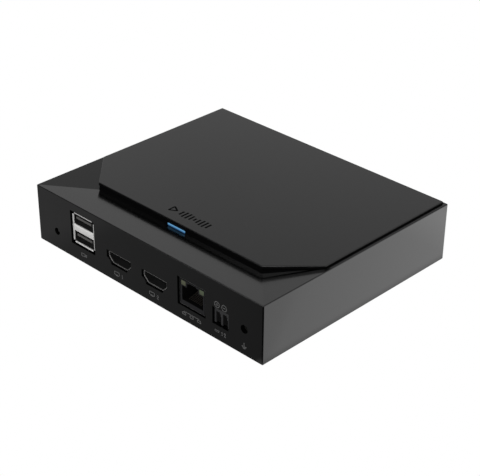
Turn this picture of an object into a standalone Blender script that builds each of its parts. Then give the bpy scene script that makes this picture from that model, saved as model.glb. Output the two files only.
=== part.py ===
"""Small network media box: a low moulded case with a folded valley in its top, a raised top
plate, a light bar under the plate's front edge, and a row of sockets on the front wall.

Metres, +Z up. The sockets face -Y, +X is to the right of someone who faces them, and the
feet stand on z = 0. Heights below are measured from the underside of the bottom cover, which
the frame empty lifts by the height of the feet.
"""

import math

import bmesh
import bpy
from mathutils import Matrix

# ------------------------------------------------------------------ driving dimensions
WIDTH = 0.145
DEPTH = 0.120
HEIGHT = 0.0281            # underside of the bottom cover to the rim
FOOT_STAND = 0.0012        # how far the feet lift the bottom cover
GAP = 0.0003               # clearance between pieces that touch
REACH = 0.002              # how far a cutter runs past the surface it cuts
FRONT = -DEPTH / 2

WALL = 0.0020
EDGE_RADIUS = 0.0005
SKIRT = 0.0007             # how far the walls run down past the bottom cover

FACET_RUN = 0.0205         # rim to the foot of the wall under the plate, seen from above
FACET_DROP = 0.00274       # how far the valley falls over that run
FACET_SKIN = 0.0013        # thickness of the moulding under the facets
ROOM_OVERLAP = 0.004       # how far the space under the facets runs on under the plate
ROOM_FRONT_WALL = 0.0016   # wall left under the plate's front edge
ROOM_CORNER_WALL = 0.0015
SLOPE = FACET_DROP / FACET_RUN

PLATE_HALF_WIDTH = 0.0707
PLATE_FRONT = -0.0398
PLATE_BACK = 0.0585
PLATE_CORNER_X = 0.0521    # where the 45 degree corners leave the front edge
PLATE_TOP = HEIGHT + 0.00115
PLATE_THICKNESS = 0.00175
PLATE_EDGE_RADIUS = 0.0003
DECK = PLATE_TOP - PLATE_THICKNESS - GAP
DECK_SKIN = 0.0018
PEG_RADIUS = 0.0013
PEG_TAIL = 0.0006          # how far a peg passes through the deck
PEG_ROOT = 0.0008          # how deep its root lies below the plate's top
PEG_PLACES = [(-0.045, -0.008), (0.045, -0.008), (-0.045, 0.045), (0.045, 0.045)]

LIGHT_WIDTH = 0.0110
LIGHT_BOTTOM = 0.0257
LIGHT_TOP = 0.0267
LIGHT_DEPTH = 0.0020
LIGHT_STEP = 0.0008        # how far the guide steps back above its nose
LIGHT_LEG_BOTTOM = 0.0082
LIGHT_SLOT_LAP = 0.0004    # how far the guide's shaft and its notch run into each other
STATUS_LAMP = (0.0035, 0.0028, 0.0009)

FLOOR = 0.0020             # bottom cover
COVER_EDGE = 0.0003
FOOT_RADIUS = 0.0060
FOOT_SEAT = 0.0010         # depth of a foot's recess in the cover
FOOT_EDGE = 0.0005
FOOT_PLACES = [(-0.054, -0.046), (0.054, -0.046), (-0.054, 0.046), (0.054, 0.046)]
CASE_SCREW_PLACES = [(-0.0663, -0.044), (0.0663, -0.044), (-0.0663, 0.052), (0.0663, 0.052)]
CASE_BOSS_RADIUS = 0.0029
CASE_BOSS_ROOT = 0.0007    # how deep a boss's root lies below the deck
SCREW_HEAD_RADIUS = 0.0026
SCREW_SHANK_RADIUS = 0.0012
SCREW_BORE_RADIUS = SCREW_SHANK_RADIUS + GAP
COVER_BORE_RADIUS = 0.0017
BOARD_BORE_RADIUS = 0.0016
SCREW_HEAD_HEIGHT = 0.0008
CASE_SCREW_LENGTH = 0.0080
BOARD_SCREW_LENGTH = 0.0042
STANDOFF_RADIUS = 0.0030
STANDOFF_BORE_BOTTOM = 0.0022
VENT_SLOT = (0.0016, 0.0160)
VENT_PITCH = 0.0050
VENT_ROWS = (-0.014, 0.014)
VENTS_EACH_SIDE = 6

BOARD_BOTTOM = 0.0051
BOARD_TOP = 0.0067
BOARD_HALF_WIDTH = 0.0623
BOARD_FRONT = -0.0572
BOARD_BACK = 0.0440
BOARD_SCREW_PLACES = [(-0.056, -0.042), (0.056, -0.042), (-0.056, 0.039), (0.056, 0.039)]
ON_BOARD = BOARD_TOP + GAP

PROCESSOR = (0.0170, 0.0170, 0.0014)
PROCESSOR_PLACE = (0.0020, 0.0080)
PAD = (0.0160, 0.0160, 0.0008)
SINK_HALF = 0.0190
SINK_BASE = 0.0025
SINK_HEIGHT = 0.0105
SINK_FIN = 0.0012
SINK_PITCH = 0.0046
CHIP_EDGE = 0.0001
CHIPS = {                  # size, and place on the board
    "memory_chip_1": ((0.0080, 0.0110, 0.0010), (-0.0235, 0.0010)),
    "memory_chip_2": ((0.0080, 0.0110, 0.0010), (-0.0235, 0.0160)),
    "storage_chip": ((0.0130, 0.0115, 0.0010), (0.0330, 0.0200)),
    "network_chip": ((0.0060, 0.0060, 0.0009), (0.0330, -0.0220)),
}
TRANSFORMER = (0.0160, 0.0100, 0.0058)
TRANSFORMER_PLACE = (0.0309, -0.0350)
POWER_PARTS_X = 0.0480
COIL = (0.0070, 0.0070, 0.0040)
COIL_EDGE = 0.0010
COIL_Y = (-0.0330, -0.0230)
CAPACITOR_RADIUS = 0.0031
CAPACITOR_HEIGHT = 0.0075
CAPACITOR_Y = (-0.0110, -0.0030, 0.0050)
CELL_PLACE = (-0.0430, 0.0220)
CELL_RADIUS = 0.0100
CELL_HEIGHT = 0.0032
HOLDER_RADIUS = 0.0118
HOLDER_HEIGHT = 0.0040
HOLDER_FLOOR = 0.0008

# Room round a socket in its window: beside, below and above it.
WINDOW_DEPTH = WALL + 0.0005
DATA_WINDOW = (0.0007, 0.0006, 0.0005)
DATA_WINDOW_CORNER = 0.0004
VIDEO_WINDOW = 0.0006
NETWORK_WINDOW = (0.0007, 0.0004, 0.0006)
POWER_WINDOW = (0.0004, 0.0003, 0.0010)

# Sockets: centres along X, heights from the underside of the bottom cover.
DATA_X = -0.0403
DATA_WIDTH = 0.01525
DATA_BOTTOM = 0.00765
DATA_HEIGHT = 0.01595
DATA_DEPTH = 0.0150
DATA_MOUTH = (0.0135, 0.0055)
DATA_MOUTH_DEPTH = 0.0100
DATA_PITCH = 0.00882
DATA_RECESS = 0.0006
DATA_TONGUE_HALF = 0.0052
DATA_TONGUE = (0.00035, 0.00145)    # bottom and top above the middle of a mouth
DATA_TONGUE_START = 0.0005
DATA_SHELL_SKIN = 0.0005
DATA_REAR_START = 0.0092   # where the shell opens to take the core from behind

VIDEO_X = (-0.0157, 0.00755)
VIDEO_WIDTH = 0.0151
VIDEO_BOTTOM = 0.0078
VIDEO_HEIGHT = 0.0055
VIDEO_DEPTH = 0.0110
VIDEO_RECESS = 0.0008
VIDEO_SKIN = 0.00045
VIDEO_CORNER = 0.0026      # how far the narrow lower part steps in, and how high it reaches
VIDEO_CORE_START = 0.0075
VIDEO_TONGUE_HALF = 0.0053
VIDEO_TONGUE = (0.0027, 0.0037)
VIDEO_TONGUE_START = 0.0014

NETWORK_X = 0.03085
NETWORK_WIDTH = 0.0157
NETWORK_HEIGHT = 0.0129
NETWORK_DEPTH = 0.0160
NETWORK_RECESS = 0.0006
NETWORK_BODY_START = 0.0001    # behind the edge of its screen
NETWORK_MOUTH_BOTTOM = 0.0092
NETWORK_MOUTH = (0.0129, 0.0070)
NETWORK_STEP = (0.0070, 0.0021)
NETWORK_LATCH = (0.0046, 0.0005)
NETWORK_MOUTH_DEPTH = 0.0130
LAMP_BOTTOM = 0.0003       # above the mouth's shoulder
LAMP_HEIGHT = 0.0024
LAMP_DEPTH = 0.0036
SHEET = 0.0003             # folded screening metal

POWER_X = 0.0482
POWER_WIDTH = 0.0088
POWER_HEIGHT = 0.0070
POWER_DEPTH = 0.0100
POWER_RECESS = 0.0010
POWER_SLOT = (0.0029, 0.0058)
POWER_SLOT_DEPTH = 0.0080
POWER_KEY = 0.0008         # the step in a slot's upper corner
POWER_SLOT_X = (0.0463, 0.0502)
POWER_PIN = 0.0010
POWER_PIN_LENGTH = 0.0062
POWER_PIN_START = 0.0015

RESET_X = -0.0591
RESET_Z = 0.0086
RESET_HOLE_RADIUS = 0.0018
RESET_BUTTON_RADIUS = 0.0012
RESET_STEM_RADIUS = 0.0007
RESET_BORE_RADIUS = 0.0010
RESET_TRAVEL = 0.00035
RESET_BUTTON_START = 0.0012    # behind the outside of the front wall
RESET_BUTTON_EDGE = 0.0003
RESET_BUTTON_END = 0.0007  # in front of the switch
RESET_STEM_ROOT = 0.0010
SWITCH_FRONT = 0.0045      # behind the outside of the front wall
SWITCH_HALF = 0.0030
SWITCH_DEPTH = 0.0036
SWITCH_TOP = 0.0018        # above the stem

LABEL = (0.0500, 0.0200, 0.00015)
LABEL_Y = 0.0400

EARTH_X = 0.0620
EARTH_Z = 0.0122
EARTH_HOLE_RADIUS = 0.0020
EARTH_BORE_RADIUS = 0.0019
EARTH_INSERT_RADIUS = 0.0035
EARTH_INSERT_DEPTH = 0.0024
BRACKET_SHEET = 0.0008
BRACKET_HALF = 0.0036
BRACKET_FOOT = 0.0068
BRACKET_RISE = 0.0038      # above the insert's middle


# ------------------------------------------------------------------ helpers
def finish(name, colour, roughness, metallic=0.0):
    """A Principled material with one colour, roughness and metallic value."""
    material = bpy.data.materials.new(name)
    material.use_nodes = True
    shader = material.node_tree.nodes["Principled BSDF"]
    shader.inputs["Base Color"].default_value = (*colour, 1.0)
    shader.inputs["Roughness"].default_value = roughness
    shader.inputs["Metallic"].default_value = metallic
    return material


def add_object(name, bm, material, location, rotation=(0.0, 0.0, 0.0)):
    """Turns a bmesh into an object on the case frame."""
    bmesh.ops.recalc_face_normals(bm, faces=bm.faces)
    mesh = bpy.data.meshes.new(name)
    bm.to_mesh(mesh)
    bm.free()
    mesh.materials.append(material)
    item = bpy.data.objects.new(name, mesh)
    bpy.context.collection.objects.link(item)
    item.parent = case_frame
    item.location = location
    item.rotation_euler = rotation
    return item


def add_cutter(name, bm, location=(0.0, 0.0, 0.0)):
    """A guide solid for a Boolean: it is never part of the model."""
    item = add_object(name, bm, guide_finish, location)
    item.hide_render = True
    item.display_type = "WIRE"
    return item


def combine(target, tool, operation="DIFFERENCE"):
    """Adds an exact Boolean of one object with another."""
    boolean = target.modifiers.new(tool.name, "BOOLEAN")
    boolean.operation = operation
    boolean.solver = "EXACT"
    boolean.object = tool


def add_box(bm, low, high):
    """Adds a box between two corners."""
    size = [high[axis] - low[axis] for axis in range(3)]
    centre = [(high[axis] + low[axis]) / 2 for axis in range(3)]
    place = Matrix.Translation(centre) @ Matrix.Diagonal((*size, 1.0))
    return bmesh.ops.create_cube(bm, size=1.0, matrix=place)["verts"]


def add_prism(bm, outline, low, high, upright=True):
    """Extrudes an outline: (x, y) upwards from low to high, or (x, z) backwards along Y."""
    rings = []
    for level in (low, high):
        if upright:
            ring = [bm.verts.new((u, v, level)) for u, v in outline]
        else:
            ring = [bm.verts.new((u, level, v)) for u, v in outline]
        rings.append(ring)
        bm.faces.new(ring)
    count = len(outline)
    for index in range(count):
        after = (index + 1) % count
        bm.faces.new((rings[0][index], rings[0][after], rings[1][after], rings[1][index]))


def add_side_prism(bm, side_view, half):
    """Extrudes a (y, z) outline to both sides along X."""
    add_prism(bm, side_view, -half, half)
    to_x = Matrix(((0, 0, 1, 0), (1, 0, 0, 0), (0, 1, 0, 0), (0, 0, 0, 1)))
    bmesh.ops.transform(bm, matrix=to_x, verts=bm.verts)


def add_cylinder(bm, radius, low, high, place=(0.0, 0.0), along_y=False, sides=32):
    """Adds a cylinder from low to high, upright at (x, y) or lying along Y at (x, z)."""
    middle = (low + high) / 2
    if along_y:
        turn = Matrix.Rotation(math.pi / 2, 4, "X")
        matrix = Matrix.Translation((place[0], middle, place[1])) @ turn
    else:
        matrix = Matrix.Translation((place[0], place[1], middle))
    bmesh.ops.create_cone(bm, cap_ends=True, segments=sides, radius1=radius, radius2=radius,
                          depth=high - low, matrix=matrix)


def round_edges(bm, radius, segments, edges=None):
    """Rounds the given edges, or all of them."""
    chosen = bm.edges[:] if edges is None else edges
    bmesh.ops.bevel(bm, geom=chosen, offset=radius, segments=segments, profile=0.5,
                    affect="EDGES")


def block(name, size, location, material, radius=0.0, segments=1):
    """A box centred on its location, with its edges rounded or chamfered if asked."""
    bm = bmesh.new()
    half = [length / 2 for length in size]
    add_box(bm, [-length for length in half], half)
    if radius:
        round_edges(bm, radius, segments)
    return add_object(name, bm, material, location)


def smooth(item, degrees=40.0):
    """Shades a round piece smooth and keeps its corners sharp."""
    item.data.shade_smooth()
    item.data.set_sharp_from_angle(angle=math.radians(degrees))


def plate_outline(grow=0.0):
    """Outline of the top plate with its 45 degree front corners, grown outwards."""
    side = PLATE_HALF_WIDTH + grow
    lean = grow * math.tan(math.pi / 8)
    corner_x = PLATE_CORNER_X + lean
    corner_y = PLATE_FRONT + PLATE_HALF_WIDTH - PLATE_CORNER_X - lean
    front = PLATE_FRONT - grow
    back = PLATE_BACK + grow
    return [(-corner_x, front), (corner_x, front), (side, corner_y), (side, back),
            (-side, back), (-side, corner_y)]


def video_outline(grow=0.0):
    """Outline of a video socket in (x, z) about its centre line, from its base up."""
    half = VIDEO_WIDTH / 2 + grow
    narrow = VIDEO_WIDTH / 2 - VIDEO_CORNER + grow * 0.5
    shoulder = VIDEO_CORNER - grow * 0.2
    knee = 0.0017 - grow * 0.6
    low = -grow
    high = VIDEO_HEIGHT + grow
    return [(-narrow, low), (narrow, low), (narrow + 0.0008, knee), (half, shoulder),
            (half, high), (-half, high), (-half, shoulder), (-narrow - 0.0008, knee)]


def shifted(outline, offset_x, offset_z):
    """An outline moved in its own plane."""
    return [(u + offset_x, v + offset_z) for u, v in outline]


# ------------------------------------------------------------------ case
def valley_cutter():
    """What is missing above the three folded facets, out past the rim and up past the plate."""
    rim_x = WIDTH / 2 + REACH
    rim_y = FRONT - REACH
    rim_z = HEIGHT + SLOPE * REACH
    foot_x = WIDTH / 2 - FACET_RUN
    foot_y = FRONT + FACET_RUN
    foot_z = HEIGHT - FACET_DROP
    end_y = foot_y + rim_x - foot_x
    floor = [(-rim_x, rim_y, rim_z), (rim_x, rim_y, rim_z), (rim_x, end_y, rim_z),
             (foot_x, foot_y, foot_z), (-foot_x, foot_y, foot_z), (-rim_x, end_y, rim_z)]
    bm = bmesh.new()
    low = [bm.verts.new(point) for point in floor]
    high = [bm.verts.new((x, y, PLATE_TOP + REACH)) for x, y, _ in floor]
    bm.faces.new((low[0], low[1], low[3], low[4]))
    bm.faces.new((low[1], low[2], low[3]))
    bm.faces.new((low[4], low[5], low[0]))
    bm.faces.new(high)
    for index in range(len(floor)):
        after = (index + 1) % len(floor)
        bm.faces.new((low[index], low[after], high[after], high[index]))
    return add_cutter("valley_cutter", bm)


def front_room_cutter():
    """The space under the facets: its ceiling keeps an even skin below them."""
    wall_x = WIDTH / 2 - WALL
    wall_y = FRONT + WALL
    wall_z = HEIGHT - SLOPE * WALL - FACET_SKIN
    foot_x = WIDTH / 2 - FACET_RUN
    foot_y = FRONT + FACET_RUN
    foot_z = HEIGHT - FACET_DROP - FACET_SKIN
    end_y = foot_y + wall_x - foot_x + ROOM_OVERLAP
    bm = bmesh.new()
    base = [bm.verts.new((x, y, -REACH)) for x, y in
            ((-wall_x, wall_y), (wall_x, wall_y), (wall_x, end_y), (-wall_x, end_y))]
    roof = [bm.verts.new(point) for point in
            ((-wall_x, wall_y, wall_z), (wall_x, wall_y, wall_z), (wall_x, end_y, wall_z),
             (-wall_x, end_y, wall_z))]
    flat = [bm.verts.new(point) for point in
            ((-foot_x, foot_y, foot_z), (foot_x, foot_y, foot_z), (foot_x, end_y, foot_z),
             (-foot_x, end_y, foot_z))]
    bm.faces.new(base)
    bm.faces.new(flat)
    bm.faces.new((base[0], base[1], roof[1], roof[0]))
    bm.faces.new((base[1], base[2], roof[2], roof[1]))
    bm.faces.new((base[3], base[0], roof[0], roof[3]))
    bm.faces.new((base[2], base[3], roof[3], flat[3], flat[2], roof[2]))
    bm.faces.new((roof[0], roof[1], flat[1], flat[0]))
    bm.faces.new((roof[1], roof[2], flat[2], flat[1]))
    bm.faces.new((roof[3], roof[0], flat[0], flat[3]))
    return add_cutter("front_room_cutter", bm)


def main_room_cutter():
    """The space under the plate, with corners that follow the plate's."""
    side = WIDTH / 2 - WALL
    front = FRONT + FACET_RUN + ROOM_FRONT_WALL
    corner_x = WIDTH / 2 - FACET_RUN - ROOM_CORNER_WALL
    outline = [(-corner_x, front), (corner_x, front), (side, front + side - corner_x),
               (side, DEPTH / 2 - WALL), (-side, DEPTH / 2 - WALL),
               (-side, front + side - corner_x)]
    bm = bmesh.new()
    add_prism(bm, outline, -REACH, DECK - DECK_SKIN)
    return add_cutter("main_room_cutter", bm)


def light_slot_cutter():
    """The notch in the wall under the plate that the light bar looks through."""
    half = LIGHT_WIDTH / 2 + GAP
    wall_front = FRONT + FACET_RUN
    bm = bmesh.new()
    add_box(bm, (-half, wall_front - REACH, LIGHT_BOTTOM - GAP),
            (half, wall_front + LIGHT_DEPTH, DECK + REACH))
    slot = add_cutter("light_slot_cutter", bm)
    bm = bmesh.new()
    add_box(bm, (-half, wall_front + LIGHT_DEPTH - GAP - LIGHT_SLOT_LAP, DECK - DECK_SKIN - REACH),
            (half, wall_front + 2 * LIGHT_DEPTH + GAP, DECK + REACH))
    return slot, add_cutter("light_guide_cutter", bm)


def port_cutter():
    """Every window and hole through the front wall, as separate solids of one cutter."""
    low = FRONT - REACH
    high = FRONT + WINDOW_DEPTH
    bm = bmesh.new()
    data_side = DATA_WIDTH / 2 + DATA_WINDOW[0]
    data_window = add_box(bm, (DATA_X - data_side, low, DATA_BOTTOM - DATA_WINDOW[1]),
                          (DATA_X + data_side, high,
                           DATA_BOTTOM + DATA_HEIGHT + DATA_WINDOW[2]))
    lengthwise = [edge for edge in {e for v in data_window for e in v.link_edges}
                  if abs(edge.verts[0].co.y - edge.verts[1].co.y) > WALL]
    round_edges(bm, DATA_WINDOW_CORNER, 3, lengthwise)
    for centre in VIDEO_X:
        add_prism(bm, shifted(video_outline(VIDEO_WINDOW), centre, VIDEO_BOTTOM), low, high,
                  upright=False)
    for centre, width, height, window in (
            (NETWORK_X, NETWORK_WIDTH, NETWORK_HEIGHT, NETWORK_WINDOW),
            (POWER_X, POWER_WIDTH, POWER_HEIGHT, POWER_WINDOW)):
        side = width / 2 + window[0]
        add_box(bm, (centre - side, low, ON_BOARD - window[1]),
                (centre + side, high, ON_BOARD + height + window[2]))
    add_cylinder(bm, RESET_HOLE_RADIUS, low, high, (RESET_X, RESET_Z), along_y=True)
    add_cylinder(bm, EARTH_HOLE_RADIUS, low, high, (EARTH_X, EARTH_Z), along_y=True)
    return add_cutter("port_cutter", bm)


def make_housing():
    """Four walls and the folded top in one moulding, open below."""
    bm = bmesh.new()
    add_box(bm, (-WIDTH / 2, FRONT, -SKIRT), (WIDTH / 2, DEPTH / 2, HEIGHT))
    round_edges(bm, EDGE_RADIUS, 4)
    housing = add_object("upper_housing", bm, case_black, (0.0, 0.0, 0.0))
    bm = bmesh.new()
    add_prism(bm, plate_outline(GAP), DECK, PLATE_TOP + REACH)
    pocket = add_cutter("plate_pocket_cutter", bm)
    for tool in (valley_cutter(), pocket, front_room_cutter(), main_room_cutter(),
                 *light_slot_cutter(), port_cutter()):
        combine(housing, tool)
    bm = bmesh.new()
    for place in CASE_SCREW_PLACES:
        add_cylinder(bm, CASE_BOSS_RADIUS, FLOOR + GAP, DECK - CASE_BOSS_ROOT, place, sides=24)
    combine(housing, add_cutter("boss_guide", bm), "UNION")
    bm = bmesh.new()
    for place in CASE_SCREW_PLACES:
        add_cylinder(bm, SCREW_BORE_RADIUS, 0.0, CASE_SCREW_LENGTH + REACH, place, sides=16)
    for place in PEG_PLACES:
        add_cylinder(bm, PEG_RADIUS + GAP, DECK - DECK_SKIN - REACH, DECK + REACH, place,
                     sides=16)
    combine(housing, add_cutter("bore_cutter", bm))


def make_top_plate():
    """The raised plate with 45 degree front corners, held by four pegs through the deck."""
    bm = bmesh.new()
    add_prism(bm, plate_outline(), PLATE_TOP - PLATE_THICKNESS, PLATE_TOP)
    round_edges(bm, PLATE_EDGE_RADIUS, 3)
    plate = add_object("top_plate", bm, plate_black, (0.0, 0.0, 0.0))
    bm = bmesh.new()
    for place in PEG_PLACES:
        add_cylinder(bm, PEG_RADIUS, DECK - DECK_SKIN - PEG_TAIL, PLATE_TOP - PEG_ROOT, place,
                     sides=16)
    combine(plate, add_cutter("peg_guide", bm), "UNION")


def make_light_guide():
    """A flat guide whose nose is the light bar and whose leg reaches down to the lamp."""
    nose = FRONT + FACET_RUN
    back = nose + LIGHT_DEPTH
    side_view = [(nose, LIGHT_BOTTOM), (back, LIGHT_BOTTOM), (back, LIGHT_LEG_BOTTOM),
                 (back + LIGHT_DEPTH, LIGHT_LEG_BOTTOM), (back + LIGHT_DEPTH, DECK),
                 (nose + LIGHT_STEP, DECK), (nose + LIGHT_STEP, LIGHT_TOP), (nose, LIGHT_TOP)]
    bm = bmesh.new()
    add_side_prism(bm, side_view, LIGHT_WIDTH / 2)
    add_object("status_light_guide", bm, light_blue, (0.0, 0.0, 0.0))
    block("status_lamp", STATUS_LAMP,
          (0.0, back + LIGHT_DEPTH / 2, ON_BOARD + STATUS_LAMP[2] / 2), lamp_white)


def make_bottom_cover():
    """The floor of the case: foot recesses, screw counterbores, vents and board standoffs."""
    side = WIDTH / 2 - WALL - GAP
    end = DEPTH / 2 - WALL - GAP
    bm = bmesh.new()
    add_box(bm, (-side, -end, 0.0), (side, end, FLOOR))
    round_edges(bm, COVER_EDGE, 1)
    cover = add_object("bottom_cover", bm, cover_black, (0.0, 0.0, 0.0))
    bm = bmesh.new()
    for place in BOARD_SCREW_PLACES:
        add_cylinder(bm, STANDOFF_RADIUS, FLOOR * 0.75, BOARD_BOTTOM - GAP, place, sides=24)
    combine(cover, add_cutter("standoff_guide", bm), "UNION")
    bm = bmesh.new()
    for place in BOARD_SCREW_PLACES:
        add_cylinder(bm, SCREW_BORE_RADIUS, STANDOFF_BORE_BOTTOM, BOARD_BOTTOM + REACH, place,
                     sides=16)
    for place in FOOT_PLACES:
        add_cylinder(bm, FOOT_RADIUS + GAP, -REACH, FOOT_SEAT, place)
    for place in CASE_SCREW_PLACES:
        add_cylinder(bm, SCREW_HEAD_RADIUS + GAP, -REACH, SCREW_HEAD_HEIGHT + GAP, place,
                     sides=24)
    half_width = VENT_SLOT[0] / 2
    half_length = VENT_SLOT[1] / 2
    for row_y in VENT_ROWS:
        for step in range(-VENTS_EACH_SIDE, VENTS_EACH_SIDE + 1):
            centre = step * VENT_PITCH
            add_box(bm, (centre - half_width, row_y - half_length, -REACH),
                    (centre + half_width, row_y + half_length, FLOOR + REACH / 4))
    combine(cover, add_cutter("cover_cutter", bm))
    bm = bmesh.new()
    for place in CASE_SCREW_PLACES:
        add_cylinder(bm, COVER_BORE_RADIUS, -REACH, FLOOR + REACH, place, sides=16)
    combine(cover, add_cutter("clearance_cutter", bm))


def make_feet():
    """Four round rubber feet with a rolled lower edge."""
    for number, (x, y) in enumerate(FOOT_PLACES, start=1):
        bm = bmesh.new()
        add_cylinder(bm, FOOT_RADIUS, -FOOT_STAND, FOOT_SEAT - GAP)
        lower = [edge for edge in bm.edges
                 if all(vert.co.z < -FOOT_STAND / 2 for vert in edge.verts)]
        round_edges(bm, FOOT_EDGE, 2, lower)
        smooth(add_object(f"rubber_foot_{number}", bm, rubber_black, (x, y, 0.0)))


def screw(name, place, seat, length, points_up):
    """A pan-head screw whose head rests on the seat height and whose shank runs away from it."""
    bm = bmesh.new()
    add_cylinder(bm, SCREW_HEAD_RADIUS, -SCREW_HEAD_HEIGHT, 0.0, sides=24)
    rim = [edge for edge in bm.edges
           if all(vert.co.z < -SCREW_HEAD_HEIGHT / 2 for vert in edge.verts)]
    round_edges(bm, SCREW_HEAD_HEIGHT / 2, 2, rim)
    head = add_object(name, bm, screw_steel, (*place, seat),
                      (0.0 if points_up else math.pi, 0.0, 0.0))
    bm = bmesh.new()
    add_cylinder(bm, SCREW_SHANK_RADIUS, -SCREW_HEAD_HEIGHT / 2, length, sides=16)
    shank = add_cutter(name + "_shank_guide", bm, head.location)
    shank.rotation_euler = head.rotation_euler
    combine(head, shank, "UNION")
    smooth(head)


def make_screws():
    """Four screws up through the bottom cover and four down through the board."""
    for number, place in enumerate(CASE_SCREW_PLACES, start=1):
        screw(f"case_screw_{number}", place, SCREW_HEAD_HEIGHT,
              CASE_SCREW_LENGTH - SCREW_HEAD_HEIGHT, True)
    for number, place in enumerate(BOARD_SCREW_PLACES, start=1):
        screw(f"board_screw_{number}", place, ON_BOARD, BOARD_SCREW_LENGTH, False)


# ------------------------------------------------------------------ board
def make_board():
    """The circuit board on its four standoffs."""
    bm = bmesh.new()
    add_box(bm, (-BOARD_HALF_WIDTH, BOARD_FRONT, BOARD_BOTTOM),
            (BOARD_HALF_WIDTH, BOARD_BACK, BOARD_TOP))
    board = add_object("main_board", bm, board_green, (0.0, 0.0, 0.0))
    bm = bmesh.new()
    for place in BOARD_SCREW_PLACES:
        add_cylinder(bm, BOARD_BORE_RADIUS, BOARD_BOTTOM - REACH, BOARD_TOP + REACH, place,
                     sides=16)
    combine(board, add_cutter("board_hole_cutter", bm))


def on_board(name, size, place, material, radius=0.0):
    """A box-shaped component that sits on the board."""
    block(name, size, (*place, ON_BOARD + size[2] / 2), material, radius)


def make_heat_sink():
    """A finned block over the processor, with its thermal pad between."""
    on_board("processor", PROCESSOR, PROCESSOR_PLACE, chip_black, CHIP_EDGE)
    pad_top = ON_BOARD + PROCESSOR[2] + GAP + PAD[2]
    block("thermal_pad", PAD, (*PROCESSOR_PLACE, pad_top - PAD[2] / 2), pad_grey)
    profile = [(-SINK_HALF, 0.0), (SINK_HALF, 0.0)]
    for step in range(4, -5, -1):
        middle = step * SINK_PITCH
        right = middle + SINK_FIN / 2 if step < 4 else SINK_HALF
        left = middle - SINK_FIN / 2 if step > -4 else -SINK_HALF
        profile += [(right, SINK_BASE), (right, SINK_HEIGHT), (left, SINK_HEIGHT),
                    (left, SINK_BASE)]
    profile = [point for index, point in enumerate(profile)
               if index not in (2, len(profile) - 1)]
    bm = bmesh.new()
    add_prism(bm, profile, -SINK_HALF, SINK_HALF, upright=False)
    add_object("heat_sink", bm, sink_black, (*PROCESSOR_PLACE, pad_top + GAP))


def make_components():
    """The larger components on the board."""
    for name, (size, place) in CHIPS.items():
        on_board(name, size, place, chip_black, CHIP_EDGE)
    on_board("network_transformer", TRANSFORMER, TRANSFORMER_PLACE, chip_black, 2 * CHIP_EDGE)
    for number, y in enumerate(COIL_Y, start=1):
        on_board(f"power_coil_{number}", COIL, (POWER_PARTS_X, y), coil_grey, COIL_EDGE)
    for number, y in enumerate(CAPACITOR_Y, start=1):
        bm = bmesh.new()
        add_cylinder(bm, CAPACITOR_RADIUS, 0.0, CAPACITOR_HEIGHT, sides=24)
        smooth(add_object(f"capacitor_{number}", bm, can_aluminium,
                          (POWER_PARTS_X, y, ON_BOARD)))
    bm = bmesh.new()
    add_cylinder(bm, HOLDER_RADIUS, 0.0, HOLDER_HEIGHT)
    holder = add_object("cell_holder", bm, chip_black, (*CELL_PLACE, ON_BOARD))
    bm = bmesh.new()
    add_cylinder(bm, CELL_RADIUS + GAP, HOLDER_FLOOR, HOLDER_HEIGHT + REACH)
    combine(holder, add_cutter("cell_cutter", bm, holder.location))
    smooth(holder)
    bm = bmesh.new()
    add_cylinder(bm, CELL_RADIUS, 0.0, CELL_HEIGHT)
    smooth(add_object("backup_cell", bm, socket_steel,
                      (*CELL_PLACE, ON_BOARD + HOLDER_FLOOR + GAP)))


def make_reset():
    """A side-press switch on the board and the button that a pin pushes through the hole."""
    body_front = FRONT + SWITCH_FRONT
    bm = bmesh.new()
    add_box(bm, (-SWITCH_HALF, 0.0, ON_BOARD - RESET_Z),
            (SWITCH_HALF, SWITCH_DEPTH, SWITCH_TOP))
    switch = add_object("reset_switch", bm, chip_black, (RESET_X, body_front, RESET_Z))
    bm = bmesh.new()
    add_cylinder(bm, RESET_BORE_RADIUS, -REACH, REACH, along_y=True, sides=16)
    combine(switch, add_cutter("switch_cutter", bm, switch.location))
    button_front = RESET_BUTTON_START - SWITCH_FRONT
    bm = bmesh.new()
    add_cylinder(bm, RESET_BUTTON_RADIUS, button_front, -RESET_BUTTON_END, along_y=True,
                 sides=24)
    front_rim = [edge for edge in bm.edges
                 if all(vert.co.y < button_front + REACH / 4 for vert in edge.verts)]
    round_edges(bm, RESET_BUTTON_EDGE, 2, front_rim)
    button = add_object("reset_button", bm, button_grey, (RESET_X, body_front, RESET_Z))
    bm = bmesh.new()
    add_cylinder(bm, RESET_STEM_RADIUS, -RESET_STEM_ROOT, REACH - GAP - RESET_TRAVEL,
                 along_y=True, sides=16)
    combine(button, add_cutter("stem_guide", bm, button.location), "UNION")
    smooth(button)


def make_earth_terminal():
    """A threaded insert behind the earth hole, on a bracket that stands on the board."""
    bm = bmesh.new()
    add_cylinder(bm, EARTH_INSERT_RADIUS, 0.0, EARTH_INSERT_DEPTH, along_y=True, sides=24)
    insert = add_object("earth_insert", bm, brass,
                        (EARTH_X, FRONT + WALL + GAP, EARTH_Z))
    bm = bmesh.new()
    add_cylinder(bm, EARTH_BORE_RADIUS, -REACH, EARTH_INSERT_DEPTH + REACH, along_y=True,
                 sides=24)
    combine(insert, add_cutter("thread_cutter", bm, insert.location))
    smooth(insert)
    plate_front = FRONT + WALL + 2 * GAP + EARTH_INSERT_DEPTH
    plate_back = plate_front + BRACKET_SHEET
    foot_back = plate_front + BRACKET_FOOT
    foot_top = ON_BOARD + BRACKET_SHEET
    side_view = [(plate_front, ON_BOARD), (foot_back, ON_BOARD), (foot_back, foot_top),
                 (plate_back, foot_top), (plate_back, EARTH_Z + BRACKET_RISE),
                 (plate_front, EARTH_Z + BRACKET_RISE)]
    bm = bmesh.new()
    add_side_prism(bm, side_view, BRACKET_HALF)
    add_object("earth_bracket", bm, socket_steel, (EARTH_X, 0.0, 0.0))


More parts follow.
